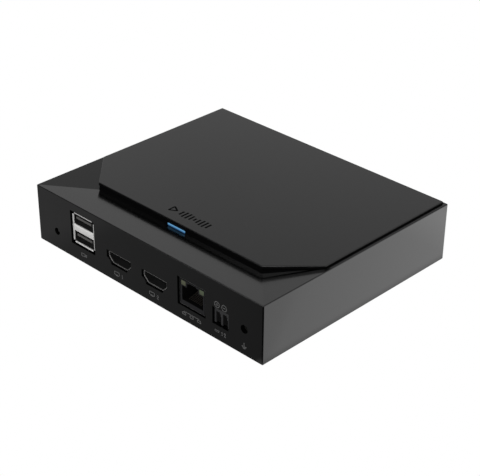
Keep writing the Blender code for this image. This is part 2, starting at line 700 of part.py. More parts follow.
# ------------------------------------------------------------------ sockets
def make_data_sockets():
    """Two stacked data sockets in one metal shell, with one moulded core."""
    front = FRONT + DATA_RECESS
    mouth_half = DATA_MOUTH[0] / 2
    heights = [DATA_HEIGHT / 2 + sign * DATA_PITCH / 2 for sign in (-1, 1)]
    place = (DATA_X, front, DATA_BOTTOM)
    bm = bmesh.new()
    add_box(bm, (-DATA_WIDTH / 2, 0.0, 0.0), (DATA_WIDTH / 2, DATA_DEPTH, DATA_HEIGHT))
    shell = add_object("data_socket_shell", bm, socket_steel, place)
    bm = bmesh.new()
    for middle in heights:
        add_box(bm, (-mouth_half, -REACH, middle - DATA_MOUTH[1] / 2),
                (mouth_half, DATA_MOUTH_DEPTH, middle + DATA_MOUTH[1] / 2))
    combine(shell, add_cutter("data_mouth_cutter", bm, place))
    bm = bmesh.new()
    skin = DATA_SHELL_SKIN
    add_box(bm, (-DATA_WIDTH / 2 + skin, DATA_REAR_START, skin),
            (DATA_WIDTH / 2 - skin, DATA_DEPTH + REACH, DATA_HEIGHT - skin))
    combine(shell, add_cutter("data_rear_cutter", bm, place))
    bm = bmesh.new()
    inset = DATA_SHELL_SKIN + GAP
    add_box(bm, (-DATA_WIDTH / 2 + inset, DATA_REAR_START + GAP, inset),
            (DATA_WIDTH / 2 - inset, DATA_DEPTH, DATA_HEIGHT - inset))
    core = add_object("data_socket_core", bm, core_white, place)
    bm = bmesh.new()
    for middle in heights:
        add_box(bm, (-DATA_TONGUE_HALF, DATA_TONGUE_START, middle + DATA_TONGUE[0]),
                (DATA_TONGUE_HALF, DATA_MOUTH_DEPTH, middle + DATA_TONGUE[1]))
    combine(core, add_cutter("data_tongue_guide", bm, place), "UNION")


def make_video_sockets():
    """Two video sockets side by side, each a thin shell round a core with one tongue."""
    for number, centre in enumerate(VIDEO_X, start=1):
        place = (centre, FRONT + VIDEO_RECESS, VIDEO_BOTTOM)
        bm = bmesh.new()
        add_prism(bm, video_outline(), 0.0, VIDEO_DEPTH, upright=False)
        shell = add_object(f"video_socket_shell_{number}", bm, socket_steel, place)
        bm = bmesh.new()
        add_prism(bm, video_outline(-VIDEO_SKIN), -REACH, VIDEO_DEPTH + REACH, upright=False)
        combine(shell, add_cutter(f"video_bore_cutter_{number}", bm, place))
        bm = bmesh.new()
        add_prism(bm, video_outline(-VIDEO_SKIN - GAP), VIDEO_CORE_START, VIDEO_DEPTH,
                  upright=False)
        core = add_object(f"video_socket_core_{number}", bm, core_black, place)
        bm = bmesh.new()
        add_box(bm, (-VIDEO_TONGUE_HALF, VIDEO_TONGUE_START, VIDEO_TONGUE[0]),
                (VIDEO_TONGUE_HALF, VIDEO_CORE_START + REACH / 4, VIDEO_TONGUE[1]))
        combine(core, add_cutter(f"video_tongue_guide_{number}", bm, place), "UNION")


def make_network_jack():
    """The network jack: a moulded body with a latch notch, its screen and two lamps."""
    front = FRONT + NETWORK_RECESS
    half = NETWORK_WIDTH / 2
    place = (NETWORK_X, front, ON_BOARD)
    bm = bmesh.new()
    add_box(bm, (-half, 0.0, 0.0), (half, NETWORK_DEPTH, NETWORK_HEIGHT))
    screen = add_object("network_jack_screen", bm, socket_steel, place)
    bm = bmesh.new()
    add_box(bm, (-half + SHEET, -REACH, -REACH),
            (half - SHEET, NETWORK_DEPTH - SHEET, NETWORK_HEIGHT - SHEET))
    combine(screen, add_cutter("screen_cutter", bm, place))

    inset = SHEET + GAP
    bm = bmesh.new()
    add_box(bm, (-half + inset, NETWORK_BODY_START, 0.0),
            (half - inset, NETWORK_DEPTH - inset, NETWORK_HEIGHT - inset))
    body = add_object("network_jack_body", bm, core_black, place)
    mouth_half = NETWORK_MOUTH[0] / 2
    step_half = NETWORK_STEP[0] / 2
    latch_half = NETWORK_LATCH[0] / 2
    low = NETWORK_MOUTH_BOTTOM - ON_BOARD
    shoulder = low + NETWORK_MOUTH[1]
    step_top = shoulder + NETWORK_STEP[1]
    high = step_top + NETWORK_LATCH[1]
    mouth = [(-mouth_half, low), (mouth_half, low), (mouth_half, shoulder),
             (step_half, shoulder), (step_half, step_top), (latch_half, step_top),
             (latch_half, high), (-latch_half, high), (-latch_half, step_top),
             (-step_half, step_top), (-step_half, shoulder), (-mouth_half, shoulder)]
    bm = bmesh.new()
    add_prism(bm, mouth, -REACH, NETWORK_MOUTH_DEPTH, upright=False)
    inner = step_half + 2 * GAP
    outer = half - inset - GAP
    lamp_low = shoulder + LAMP_BOTTOM
    for side in (-1, 1):
        add_box(bm, (min(side * inner, side * outer), -REACH, lamp_low),
                (max(side * inner, side * outer), LAMP_DEPTH + GAP, lamp_low + LAMP_HEIGHT))
    combine(body, add_cutter("mouth_cutter", bm, place))
    for name, side in (("link_lamp", -1), ("activity_lamp", 1)):
        block(name, (outer - inner - GAP, LAMP_DEPTH, LAMP_HEIGHT - GAP),
              (NETWORK_X + side * (inner + outer) / 2, front + LAMP_DEPTH / 2 + GAP / 3,
               ON_BOARD + lamp_low + LAMP_HEIGHT / 2), lamp_amber)


def make_power_header():
    """The two-pole power header: a block with two slots, open below, and a pin in each."""
    front = FRONT + POWER_RECESS
    place = (POWER_X, front, ON_BOARD)
    half = POWER_WIDTH / 2
    bm = bmesh.new()
    add_box(bm, (-half, 0.0, 0.0), (half, POWER_DEPTH, POWER_HEIGHT))
    body = add_object("power_header", bm, core_black, place)
    bm = bmesh.new()
    slot_half = POWER_SLOT[0] / 2
    slot_top = POWER_SLOT[1]
    slot = [(-slot_half, -REACH), (slot_half, -REACH), (slot_half, slot_top - POWER_KEY),
            (slot_half - POWER_KEY, slot_top - POWER_KEY), (slot_half - POWER_KEY, slot_top),
            (-slot_half, slot_top)]
    for centre in POWER_SLOT_X:
        add_prism(bm, shifted(slot, centre - POWER_X, 0.0), -REACH, POWER_SLOT_DEPTH,
                  upright=False)
    combine(body, add_cutter("power_slot_cutter", bm, place))
    for number, centre in enumerate(POWER_SLOT_X, start=1):
        block(f"power_pin_{number}", (POWER_PIN, POWER_PIN_LENGTH, POWER_PIN),
              (centre, front + POWER_PIN_START + POWER_PIN_LENGTH / 2, ON_BOARD + slot_top / 2),
              socket_steel, POWER_PIN / 10)


def make_label():
    """A blank paper label on the underside, between the vents and the rear feet."""
    block("rating_label", LABEL, (0.0, LABEL_Y, -GAP - LABEL[2] / 2), label_silver)


for leftover in list(bpy.data.objects):
    bpy.data.objects.remove(leftover, do_unlink=True)

guide_finish = finish("guide", (0.8, 0.3, 0.1), 0.8)
case_black = finish("case_black", (0.010, 0.010, 0.011), 0.32)
plate_black = finish("plate_black", (0.010, 0.010, 0.011), 0.25)
cover_black = finish("cover_black", (0.016, 0.016, 0.017), 0.55)
rubber_black = finish("rubber_black", (0.012, 0.012, 0.012), 0.8)
light_blue = finish("light_blue", (0.10, 0.32, 0.60), 0.25)
lamp_white = finish("lamp_white", (0.80, 0.80, 0.70), 0.4)
lamp_amber = finish("lamp_amber", (0.30, 0.28, 0.10), 0.4)
screw_steel = finish("screw_steel", (0.35, 0.35, 0.36), 0.35, 1.0)
socket_steel = finish("socket_steel", (0.72, 0.72, 0.72), 0.3, 1.0)
brass = finish("brass", (0.60, 0.44, 0.18), 0.35, 1.0)
core_white = finish("core_white", (0.55, 0.55, 0.55), 0.5)
core_black = finish("core_black", (0.015, 0.015, 0.016), 0.5)
chip_black = finish("chip_black", (0.020, 0.020, 0.022), 0.6)
board_green = finish("board_green", (0.02, 0.10, 0.05), 0.5)
pad_grey = finish("pad_grey", (0.45, 0.47, 0.50), 0.9)
sink_black = finish("sink_black", (0.03, 0.03, 0.03), 0.45, 1.0)
coil_grey = finish("coil_grey", (0.12, 0.12, 0.12), 0.7)
can_aluminium = finish("can_aluminium", (0.80, 0.80, 0.82), 0.3, 1.0)
button_grey = finish("button_grey", (0.03, 0.03, 0.03), 0.5)
label_silver = finish("label_silver", (0.60, 0.60, 0.60), 0.5)

case_frame = bpy.data.objects.new("case_frame", None)
bpy.context.collection.objects.link(case_frame)
case_frame.location = (0.0, 0.0, FOOT_STAND)

make_housing()
make_top_plate()
make_light_guide()
make_bottom_cover()
make_feet()
make_screws()
make_board()
make_heat_sink()
make_components()
make_reset()
make_earth_terminal()
make_data_sockets()
make_video_sockets()
make_network_jack()
make_power_header()
make_label()
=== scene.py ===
"""Finished look of a small network media box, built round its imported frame.

Laid out as a Blender add-on and run as a script. Metres, +Z up, sockets facing -Y. Places
and sizes come from the frame's own pieces; what is added here is worked out as surfaces of
two parameters, or as a profile carried round an outline.
"""

import math

import bmesh
import bpy
import numpy as np
from bpy.props import FloatProperty, FloatVectorProperty, PointerProperty
from bpy.types import Operator, Panel, PropertyGroup
from mathutils import Matrix, Vector


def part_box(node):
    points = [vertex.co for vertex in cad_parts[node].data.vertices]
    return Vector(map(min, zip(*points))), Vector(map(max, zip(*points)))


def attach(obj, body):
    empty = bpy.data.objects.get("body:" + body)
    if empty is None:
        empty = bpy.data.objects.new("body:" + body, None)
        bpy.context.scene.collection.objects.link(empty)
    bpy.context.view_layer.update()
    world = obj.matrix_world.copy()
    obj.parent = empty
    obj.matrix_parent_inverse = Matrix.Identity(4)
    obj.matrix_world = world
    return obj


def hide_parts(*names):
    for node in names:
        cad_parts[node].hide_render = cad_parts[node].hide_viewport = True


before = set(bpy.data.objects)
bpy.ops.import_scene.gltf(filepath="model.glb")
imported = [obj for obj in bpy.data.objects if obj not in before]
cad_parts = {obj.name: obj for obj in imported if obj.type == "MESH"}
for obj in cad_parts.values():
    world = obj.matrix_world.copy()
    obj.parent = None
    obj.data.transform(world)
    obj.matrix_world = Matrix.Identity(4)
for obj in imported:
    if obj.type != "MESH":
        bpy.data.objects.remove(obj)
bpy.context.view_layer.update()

bl_info = {
    "name": "Network media box",
    "version": (1, 0, 0),
    "blender": (4, 5, 0),
    "location": "3D View > Sidebar > Media box",
    "description": "Builds the finished look of a small network media box",
    "category": "Object",
}

CASE = "case"
PROUD = 0.00001            # how far printed ink stands off the wall it is printed on
MERGE = 1e-7
THREAD_PITCH = 0.0005
NUMERAL_HEIGHT = 0.0017
PORT_INK = 0.00034         # stroke width of the port marks
VIDEO_PITCH = 0.0010       # between a video socket's contacts
NETWORK_PITCH = 0.00102
LAMP_RISE = 0.0018
BOARD_SHADE = (0.012, -0.006)
FRONT_LIGHT_PLACE = (0.08, -0.85, 0.22)
FRONT_LIGHT_TARGET = (-0.03, -0.06, 0.015)
FRONT_LIGHT_SIZE = (1.60, 0.40)
FRONT_LIGHT_POWER = 7.8
MOUTH_MIDDLE = 0.00441     # of a data mouth, from the middle of the stack
TONGUE_UNDER = 0.00035     # of a data tongue, above the middle of its mouth


# ------------------------------------------------------------------ surfaces
class Surfaces:
    """Collects the grids that make up one piece."""

    def __init__(self):
        self.points = []
        self.faces = []
        self.count = 0

    def grid(self, points, wrap_u=False, wrap_v=False):
        """Adds points[u, v] and a face between each four neighbours; wrapping closes a ring."""
        rows, columns = points.shape[:2]
        index = np.arange(rows * columns).reshape(rows, columns) + self.count
        if wrap_u:
            index = np.concatenate([index, index[:1]], axis=0)
        if wrap_v:
            index = np.concatenate([index, index[:, :1]], axis=1)
        quads = np.stack([index[:-1, :-1], index[1:, :-1], index[1:, 1:], index[:-1, 1:]], -1)
        self.points.append(points.reshape(-1, 3))
        self.faces += quads.reshape(-1, 4).tolist()
        self.count += rows * columns

    def fan(self, ring):
        """Closes a ring of points with triangles to its middle."""
        count = len(ring)
        index = np.arange(count) + self.count
        middle = np.full(count, count + self.count)
        triangles = np.stack([index, np.roll(index, -1), middle], -1)
        self.points.append(np.concatenate([ring, ring.mean(axis=0)[None]], axis=0))
        self.faces += triangles.tolist()
        self.count += count + 1

    def tube(self, points):
        """Adds points[u, v] closed round u, with both ends in v closed by fans."""
        self.grid(points, wrap_u=True)
        self.fan(points[:, 0])
        self.fan(points[:, -1])

    def bar(self, section, lengths, axis):
        """Carries a closed (a, b) section made of two matching edges along an axis.

        The section lists one edge and then the other backwards, so each end closes with a
        strip of faces between the two edges, whatever its bend.
        """
        ends = []
        for length in lengths:
            plane = [section[:, 0], section[:, 1]]
            plane.insert(axis, np.full(len(section), length))
            ends.append(np.stack(plane, axis=1))
        points = np.stack(ends, axis=1)
        self.grid(points, wrap_u=True)
        half = len(section) // 2
        for end in (points[:, 0], points[:, -1]):
            self.grid(np.stack([end[:half], end[half:][::-1]], axis=1))


def make_piece(name, surfaces, material, replaced=(), body=CASE, degrees=35.0):
    """Welds the surfaces into one mesh that faces outwards, and rides it on its body."""
    mesh = bpy.data.meshes.new(name)
    mesh.from_pydata(np.concatenate(surfaces.points).tolist(), [], surfaces.faces)
    welded = bmesh.new()
    welded.from_mesh(mesh)
    bmesh.ops.remove_doubles(welded, verts=welded.verts, dist=MERGE)
    bmesh.ops.dissolve_degenerate(welded, edges=welded.edges, dist=MERGE)
    bmesh.ops.recalc_face_normals(welded, faces=welded.faces)
    welded.to_mesh(mesh)
    welded.free()
    mesh.materials.append(material)
    mesh.shade_smooth()
    mesh.set_sharp_from_angle(angle=math.radians(degrees))
    piece = bpy.data.objects.new(name, mesh)
    bpy.context.scene.collection.objects.link(piece)
    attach(piece, body)
    if replaced:
        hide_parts(*replaced)
    return piece


def softened(corners, radius, steps=5):
    """A closed outline whose corners are parabolic bends.

    Each corner P gives points (1-t)^2 A + 2t(1-t) P + t^2 B, where A and B lie on the two
    edges at P, the radius away from it.
    """
    corners = np.asarray(corners, float)
    radius = np.broadcast_to(np.asarray(radius, float), (len(corners),))
    before = np.roll(corners, 1, axis=0) - corners
    after = np.roll(corners, -1, axis=0) - corners
    start = corners + before / np.linalg.norm(before, axis=1)[:, None] * radius[:, None]
    end = corners + after / np.linalg.norm(after, axis=1)[:, None] * radius[:, None]
    t = np.linspace(0.0, 1.0, steps)[None, :, None]
    bends = ((1 - t) ** 2 * start[:, None] + 2 * t * (1 - t) * corners[:, None]
             + t ** 2 * end[:, None])
    return bends.reshape(-1, 2)


def rectangle(width, height):
    """Corners of a rectangle about the origin, anticlockwise."""
    x = width / 2
    y = height / 2
    return np.array([(x, -y), (x, y), (-x, y), (-x, -y)])


def circle(radius, count=48):
    """Points round a circle, anticlockwise."""
    angle = np.arange(count) * 2 * math.pi / count
    return radius * np.stack([np.cos(angle), np.sin(angle)], axis=1)


def outward(outline):
    """Unit normals of a closed anticlockwise outline, across each point's neighbours."""
    along = np.roll(outline, -1, axis=0) - np.roll(outline, 1, axis=0)
    normal = np.stack([along[:, 1], -along[:, 0]], axis=1)
    return normal / np.linalg.norm(normal, axis=1)[:, None]


def carried(outline, profile, centre, axis):
    """A profile of (offset, depth) pairs carried round an outline.

    Each outline point moves out along its normal by the offset, and along the axis by the
    depth: axis 1 is Y, for what faces the front wall, and axis 2 is Z.
    """
    profile = np.asarray(profile, float)
    flat = outline[:, None, :] + outward(outline)[:, None, :] * profile[None, :, 0, None]
    depth = np.broadcast_to(profile[None, :, 1], flat.shape[:2])
    layers = [flat[..., 0], flat[..., 1]]
    layers.insert(axis, depth)
    return np.stack(layers, axis=-1) + np.asarray(centre, float)


def sheet_section(centre_line, thickness):
    """Closed section of bent sheet: its middle line moved half a thickness to both sides."""
    line = np.asarray(centre_line, float)
    along = np.gradient(line, axis=0)
    normal = np.stack([along[:, 1], -along[:, 0]], axis=1)
    normal /= np.linalg.norm(normal, axis=1)[:, None]
    return np.concatenate([line + normal * thickness / 2, (line - normal * thickness / 2)[::-1]])


def box_surface(surfaces, low, high, radius=0.0):
    """A box between two corners, its upright edges softened by the radius."""
    low = np.asarray(low, float)
    high = np.asarray(high, float)
    size = high - low
    outline = softened(rectangle(size[0], size[1]), max(radius, MERGE * 10), 4)
    middle = (low + high) / 2
    lip = min(radius * 0.5, size[2] * 0.3)
    profile = [(-lip, low[2]), (0.0, low[2] + lip), (0.0, high[2] - lip), (-lip, high[2])]
    surfaces.tube(carried(outline, profile, (middle[0], middle[1], 0.0), 2))


# ------------------------------------------------------------------ shader groups
def new_group(name, inputs, outputs):
    """A shader node group with named sockets, and its input and output nodes."""
    group = bpy.data.node_groups.new(name, "ShaderNodeTree")
    for label, kind, value in inputs:
        socket = group.interface.new_socket(name=label, in_out="INPUT", socket_type=kind)
        if value is not None:
            socket.default_value = value
    for label, kind in outputs:
        group.interface.new_socket(name=label, in_out="OUTPUT", socket_type=kind)
    return group, group.nodes.new("NodeGroupInput"), group.nodes.new("NodeGroupOutput")


def maths(tree, operation, first, second):
    """A Math node; each operand is a socket or a number."""
    node = tree.nodes.new("ShaderNodeMath")
    node.operation = operation
    for place, operand in enumerate((first, second)):
        if isinstance(operand, (int, float)):
            node.inputs[place].default_value = operand
        else:
            tree.links.new(operand, node.inputs[place])
    return node.outputs[0]


def noise(tree, vector, scale, detail=2.0, roughness=0.5):
    """A Noise texture's value; the scale is a socket or a number."""
    node = tree.nodes.new("ShaderNodeTexNoise")
    node.inputs["Detail"].default_value = detail
    node.inputs["Roughness"].default_value = roughness
    if isinstance(scale, (int, float)):
        node.inputs["Scale"].default_value = scale
    else:
        tree.links.new(scale, node.inputs["Scale"])
    tree.links.new(vector, node.inputs["Vector"])
    return node.outputs["Fac"]


def remap(tree, value, low, high, to_low, to_high):
    """A clamped Map Range; the target ends are sockets or numbers."""
    node = tree.nodes.new("ShaderNodeMapRange")
    tree.links.new(value, node.inputs["Value"])
    for label, operand in (("From Min", low), ("From Max", high), ("To Min", to_low),
                           ("To Max", to_high)):
        if isinstance(operand, (int, float)):
            node.inputs[label].default_value = operand
        else:
            tree.links.new(operand, node.inputs[label])
    return node.outputs["Result"]


def moulded_grain_group():
    """Spark-eroded mould grain: fine pits over a slower swell, with a height and a tone."""
    group, into, out = new_group(
        "Moulded grain",
        [("Vector", "NodeSocketVector", None), ("Grain Scale", "NodeSocketFloat", 5000.0)],
        [("Height", "NodeSocketFloat"), ("Tone", "NodeSocketFloat")])
    cells = group.nodes.new("ShaderNodeTexVoronoi")
    group.links.new(into.outputs["Vector"], cells.inputs["Vector"])
    group.links.new(into.outputs["Grain Scale"], cells.inputs["Scale"])
    swell = noise(group, into.outputs["Vector"],
                  maths(group, "MULTIPLY", into.outputs["Grain Scale"], 0.35), 3.0)
    height = maths(group, "ADD", maths(group, "MULTIPLY", cells.outputs["Distance"], 0.6),
                   maths(group, "MULTIPLY", swell, 0.8))
    group.links.new(height, out.inputs["Height"])
    group.links.new(noise(group, into.outputs["Vector"], 90.0, 4.0), out.inputs["Tone"])
    return group


def handling_group():
    """Faint handling: broad soft smears, and sparse specks of dust as a second mask."""
    group, into, out = new_group(
        "Handling",
        [("Vector", "NodeSocketVector", None), ("Smear Scale", "NodeSocketFloat", 24.0),
         ("Dust", "NodeSocketFloat", 0.0)],
        [("Smear", "NodeSocketFloat"), ("Specks", "NodeSocketFloat")])
    broad = noise(group, into.outputs["Vector"], into.outputs["Smear Scale"], 5.0, 0.62)
    group.links.new(remap(group, broad, 0.38, 0.66, 0.0, 1.0), out.inputs["Smear"])
    cells = group.nodes.new("ShaderNodeTexVoronoi")
    cells.inputs["Scale"].default_value = 650.0
    group.links.new(into.outputs["Vector"], cells.inputs["Vector"])
    speck = remap(group, cells.outputs["Distance"], 0.03, 0.09, 1.0, 0.0)
    where = remap(group, noise(group, into.outputs["Vector"], 160.0), 0.55, 0.7, 0.0, 1.0)
    masked = maths(group, "MULTIPLY", speck, where)
    group.links.new(maths(group, "MULTIPLY", masked, into.outputs["Dust"]),
                    out.inputs["Specks"])
    return group


def drawn_metal_group():
    """Drawing lines of rolled sheet: noise stretched along one axis, with a height and tone."""
    group, into, out = new_group(
        "Drawn metal",
        [("Vector", "NodeSocketVector", None),
         ("Line Scale", "NodeSocketVector", (900.0, 9000.0, 9000.0))],
        [("Height", "NodeSocketFloat"), ("Tone", "NodeSocketFloat")])
    stretch = group.nodes.new("ShaderNodeVectorMath")
    stretch.operation = "MULTIPLY"
    group.links.new(into.outputs["Vector"], stretch.inputs[0])
    group.links.new(into.outputs["Line Scale"], stretch.inputs[1])
    lines = noise(group, stretch.outputs["Vector"], 1.0, 3.0)
    group.links.new(lines, out.inputs["Height"])
    blotch = noise(group, into.outputs["Vector"], 300.0, 4.0)
    group.links.new(maths(group, "MULTIPLY", maths(group, "ADD", lines, blotch), 0.5),
                    out.inputs["Tone"])
    return group


# ------------------------------------------------------------------ finishes
class Finish:
    """One Principled material and short ways to drive its sockets."""

    def __init__(self, name, colour, roughness, metallic=0.0):
        self.material = bpy.data.materials.new(name)
        self.material.use_nodes = True
        self.tree = self.material.node_tree
        self.shader = self.tree.nodes["Principled BSDF"]
        self.set("Base Color", (*colour, 1.0))
        self.set("Roughness", roughness)
        self.set("Metallic", metallic)
        self.place = self.tree.nodes.new("ShaderNodeTexCoord").outputs["Object"]

    def set(self, label, value):
        self.shader.inputs[label].default_value = value

    def link(self, value, label):
        self.tree.links.new(value, self.shader.inputs[label])

    def group(self, group, **values):
        """Places a shader group on the object's own coordinates; returns its outputs."""
        node = self.tree.nodes.new("ShaderNodeGroup")
        node.node_tree = group
        self.tree.links.new(self.place, node.inputs["Vector"])
        for label, value in values.items():
            node.inputs[label.replace("_", " ")].default_value = value
        return node.outputs

    def colour_between(self, mask, low, high):
        """Drives the colour from one value to another by a mask."""
        mix = self.tree.nodes.new("ShaderNodeMix")
        mix.data_type = "RGBA"
        self.tree.links.new(mask, mix.inputs["Factor"])
        mix.inputs["A"].default_value = (*low, 1.0)
        mix.inputs["B"].default_value = (*high, 1.0)
        self.link(mix.outputs["Result"], "Base Color")
        return mix

    def roughness_between(self, mask, low, high):
        self.link(remap(self.tree, mask, 0.0, 1.0, low, high), "Roughness")

    def bump(self, height, distance, strength=1.0):
        node = self.tree.nodes.new("ShaderNodeBump")
        node.inputs["Strength"].default_value = strength
        node.inputs["Distance"].default_value = distance
        self.tree.links.new(height, node.inputs["Height"])
        self.link(node.outputs["Normal"], "Normal")


def deep_shade_group():
    """How much light reaches into a socket: 1 at the mouth, falling off with depth along Y."""
    group, into, out = new_group(
        "Deep shade",
        [("Vector", "NodeSocketVector", None), ("Start", "NodeSocketFloat", 0.0),
         ("Reach", "NodeSocketFloat", 0.001)],
        [("Light", "NodeSocketFloat")])
    place = group.nodes.new("ShaderNodeSeparateXYZ")
    group.links.new(into.outputs["Vector"], place.inputs[0])
    depth = maths(group, "SUBTRACT", place.outputs["Y"], into.outputs["Start"])
    share = maths(group, "DIVIDE", depth, into.outputs["Reach"])
    group.links.new(remap(group, share, 0.0, 1.0, 1.0, 0.0), out.inputs["Light"])
    return group


def moulded(name, colour, roughness, grain=5000.0, depth=2e-6, spread=0.04, dust=0.0):
    """Moulded plastic: near-even colour, mould grain, and faint smears in its gloss."""
    finish = Finish(name, colour, roughness)
    grain_out = finish.group(groups["grain"], Grain_Scale=grain)
    smears = finish.group(groups["handling"], Dust=dust)
    lighter = tuple(min(1.0, channel * 1.25 + 0.0006) for channel in colour)
    mix = finish.colour_between(grain_out["Tone"], colour, lighter)
    if dust:
        specks = finish.tree.nodes.new("ShaderNodeMix")
        specks.data_type = "RGBA"
        finish.tree.links.new(smears["Specks"], specks.inputs["Factor"])
        finish.tree.links.new(mix.outputs["Result"], specks.inputs["A"])
        specks.inputs["B"].default_value = (0.10, 0.10, 0.10, 1.0)
        finish.link(specks.outputs["Result"], "Base Color")
    finish.roughness_between(smears["Smear"], roughness - spread / 2, roughness + spread / 2)
    finish.bump(grain_out["Height"], depth)
    return finish


def sheet_metal(name, colour, roughness, lines=(900.0, 9000.0, 9000.0), depth=1.5e-6,
                metal=1.0):
    """Plated or bare sheet metal with drawing lines and a slightly blotchy gloss."""
    finish = Finish(name, colour, roughness, metal)
    drawn = finish.group(groups["drawn"], Line_Scale=lines)
    darker = tuple(channel * 0.82 for channel in colour)
    finish.colour_between(drawn["Tone"], darker, colour)
    finish.roughness_between(drawn["Tone"], roughness - 0.05, roughness + 0.08)
    finish.bump(drawn["Height"], depth)
    return finish


def window_light_group():
    """Light in a moulded window: deep at its lower edge, pale above, softly uneven. On the light bar the
    deep lower edge is a painted reflection of the bar in the facet below, and the pale top mixes the bar's
    own light with a painted highlight.
    """
    group, into, out = new_group(
        "Window light",
        [("Vector", "NodeSocketVector", None), ("Deep", "NodeSocketColor", (0, 0, 0, 1)),
         ("Pale", "NodeSocketColor", (1, 1, 1, 1)), ("Bottom", "NodeSocketFloat", 0.0),
         ("Rise", "NodeSocketFloat", 0.001)],
        [("Color", "NodeSocketColor")])
    place = group.nodes.new("ShaderNodeSeparateXYZ")
    group.links.new(into.outputs["Vector"], place.inputs[0])
    above = maths(group, "SUBTRACT", place.outputs["Z"], into.outputs["Bottom"])
    share = maths(group, "DIVIDE", above, into.outputs["Rise"])
    swell = noise(group, into.outputs["Vector"], 260.0, 2.0)
    uneven = maths(group, "ADD", share, maths(group, "MULTIPLY", swell, 0.25))
    mix = group.nodes.new("ShaderNodeMix")
    mix.data_type = "RGBA"
    group.links.new(remap(group, uneven, 0.0, 1.0, 0.0, 1.0), mix.inputs["Factor"])
    group.links.new(into.outputs["Deep"], mix.inputs["A"])
    group.links.new(into.outputs["Pale"], mix.inputs["B"])
    group.links.new(mix.outputs["Result"], out.inputs["Color"])
    return group


def lit_plastic(name, colour, deep, pale, strength, bottom, rise, roughness=0.25):
    """A clear moulded window with light behind it."""
    finish = Finish(name, colour, roughness)
    glow = finish.group(groups["window"], Deep=(*deep, 1.0), Pale=(*pale, 1.0),
                        Bottom=bottom, Rise=rise)
    finish.link(glow["Color"], "Emission Color")
    finish.set("Emission Strength", strength)
    finish.bump(noise(finish.tree, finish.place, 1500.0, 3.0), 2e-6)
    return finish


def board_finish():
    """Green solder resist over copper: a lattice of tracks, pads and a fibre weave."""
    finish = Finish("board_green", (0.010, 0.070, 0.035), 0.38)
    tree = finish.tree
    tracks = tree.nodes.new("ShaderNodeTexBrick")
    tracks.inputs["Scale"].default_value = 420.0
    tracks.inputs["Mortar Size"].default_value = 0.09
    tracks.inputs["Color1"].default_value = (0.0, 0.0, 0.0, 1.0)
    tracks.inputs["Color2"].default_value = (0.0, 0.0, 0.0, 1.0)
    tracks.inputs["Mortar"].default_value = (1.0, 1.0, 1.0, 1.0)
    tree.links.new(finish.place, tracks.inputs["Vector"])
    patch = remap(tree, noise(tree, finish.place, 70.0, 2.0), 0.42, 0.56, 0.0, 1.0)
    routed = maths(tree, "MULTIPLY", tracks.outputs["Color"], patch)
    finish.colour_between(routed, (0.008, 0.060, 0.030), (0.030, 0.150, 0.070))
    finish.roughness_between(routed, 0.34, 0.46)
    weave = finish.group(groups["grain"], Grain_Scale=2600.0)
    raised = maths(tree, "ADD", routed, maths(tree, "MULTIPLY", weave["Height"], 0.15))
    finish.bump(raised, 2e-5)
    return finish


def shade_inside(finish, start, reach, deep=(0.0015, 0.0015, 0.0016)):
    """Darkens a finish from a place along Y, and makes it rough and less metallic there.

    The light falls from 1 at the start to 0 over the reach, which is negative to darken
    towards the front. It stands in for the shadow inside sockets and holes.
    """
    tree = finish.tree
    light = finish.group(groups["shade"], Start=start, Reach=reach)["Light"]
    colour = finish.shader.inputs["Base Color"].links[0].from_socket
    mix = tree.nodes.new("ShaderNodeMix")
    mix.data_type = "RGBA"
    tree.links.new(light, mix.inputs["Factor"])
    mix.inputs["A"].default_value = (*deep, 1.0)
    tree.links.new(colour, mix.inputs["B"])
    finish.link(mix.outputs["Result"], "Base Color")
    rough = finish.shader.inputs["Roughness"]
    near = rough.links[0].from_socket if rough.links else rough.default_value
    finish.link(remap(tree, light, 0.0, 1.0, 1.0, near), "Roughness")
    metal = finish.shader.inputs["Metallic"].default_value
    if metal > 0.0:
        finish.link(maths(tree, "MULTIPLY", light, metal), "Metallic")
    return finish


def dress(finish, *names):
    """Gives CAD nodes a finish through their material slots."""
    for name in names:
        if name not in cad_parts:
            raise RuntimeError(f"the frame has no node named {name}")
        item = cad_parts[name]
        if not item.material_slots:
            item.data.materials.append(finish.material)
        for holder in item.material_slots:
            holder.material = finish.material


groups = {}
finishes = {}


# ------------------------------------------------------------------ settings
class CaseSettings(PropertyGroup):
    """Colours and gloss of the mouldings."""
    colour: FloatVectorProperty(
        name="Case colour", description="Base colour of the black mouldings",
        subtype="COLOR", size=3, min=0.0, max=1.0, default=(0.0018, 0.0018, 0.0019))
    gloss: FloatProperty(
        name="Case roughness", description="Roughness of the housing and the top plate",
        subtype="FACTOR", min=0.05, max=1.0, default=0.16)
    light_colour: FloatVectorProperty(
        name="Light colour", description="Colour of the light bar",
        subtype="COLOR", size=3, min=0.0, max=1.0, default=(0.105, 0.290, 0.500))
    light_strength: FloatProperty(
        name="Light strength", description="Brightness of the light bar",
        min=0.0, max=20.0, default=1.0)
    ink: FloatVectorProperty(
        name="Ink colour", description="Colour of the printed pictograms",
        subtype="COLOR", size=3, min=0.0, max=1.0, default=(0.085, 0.085, 0.085))


class SocketSettings(PropertyGroup):
    """Sheet and contact sizes in the sockets."""
    sheet: FloatProperty(
        name="Shell sheet", description="Thickness of the folded shells",
        subtype="DISTANCE", unit="LENGTH", min=0.0001, max=0.001, default=0.0003)
    lip: FloatProperty(
        name="Lip reach", description="How far the data socket's lips flare past its tube",
        subtype="DISTANCE", unit="LENGTH", min=0.0002, max=0.0015, default=0.00065)
    wire: FloatProperty(
        name="Contact wire", description="Diameter of the network jack's contact wires",
        subtype="DISTANCE", unit="LENGTH", min=0.0002, max=0.0008, default=0.00042)


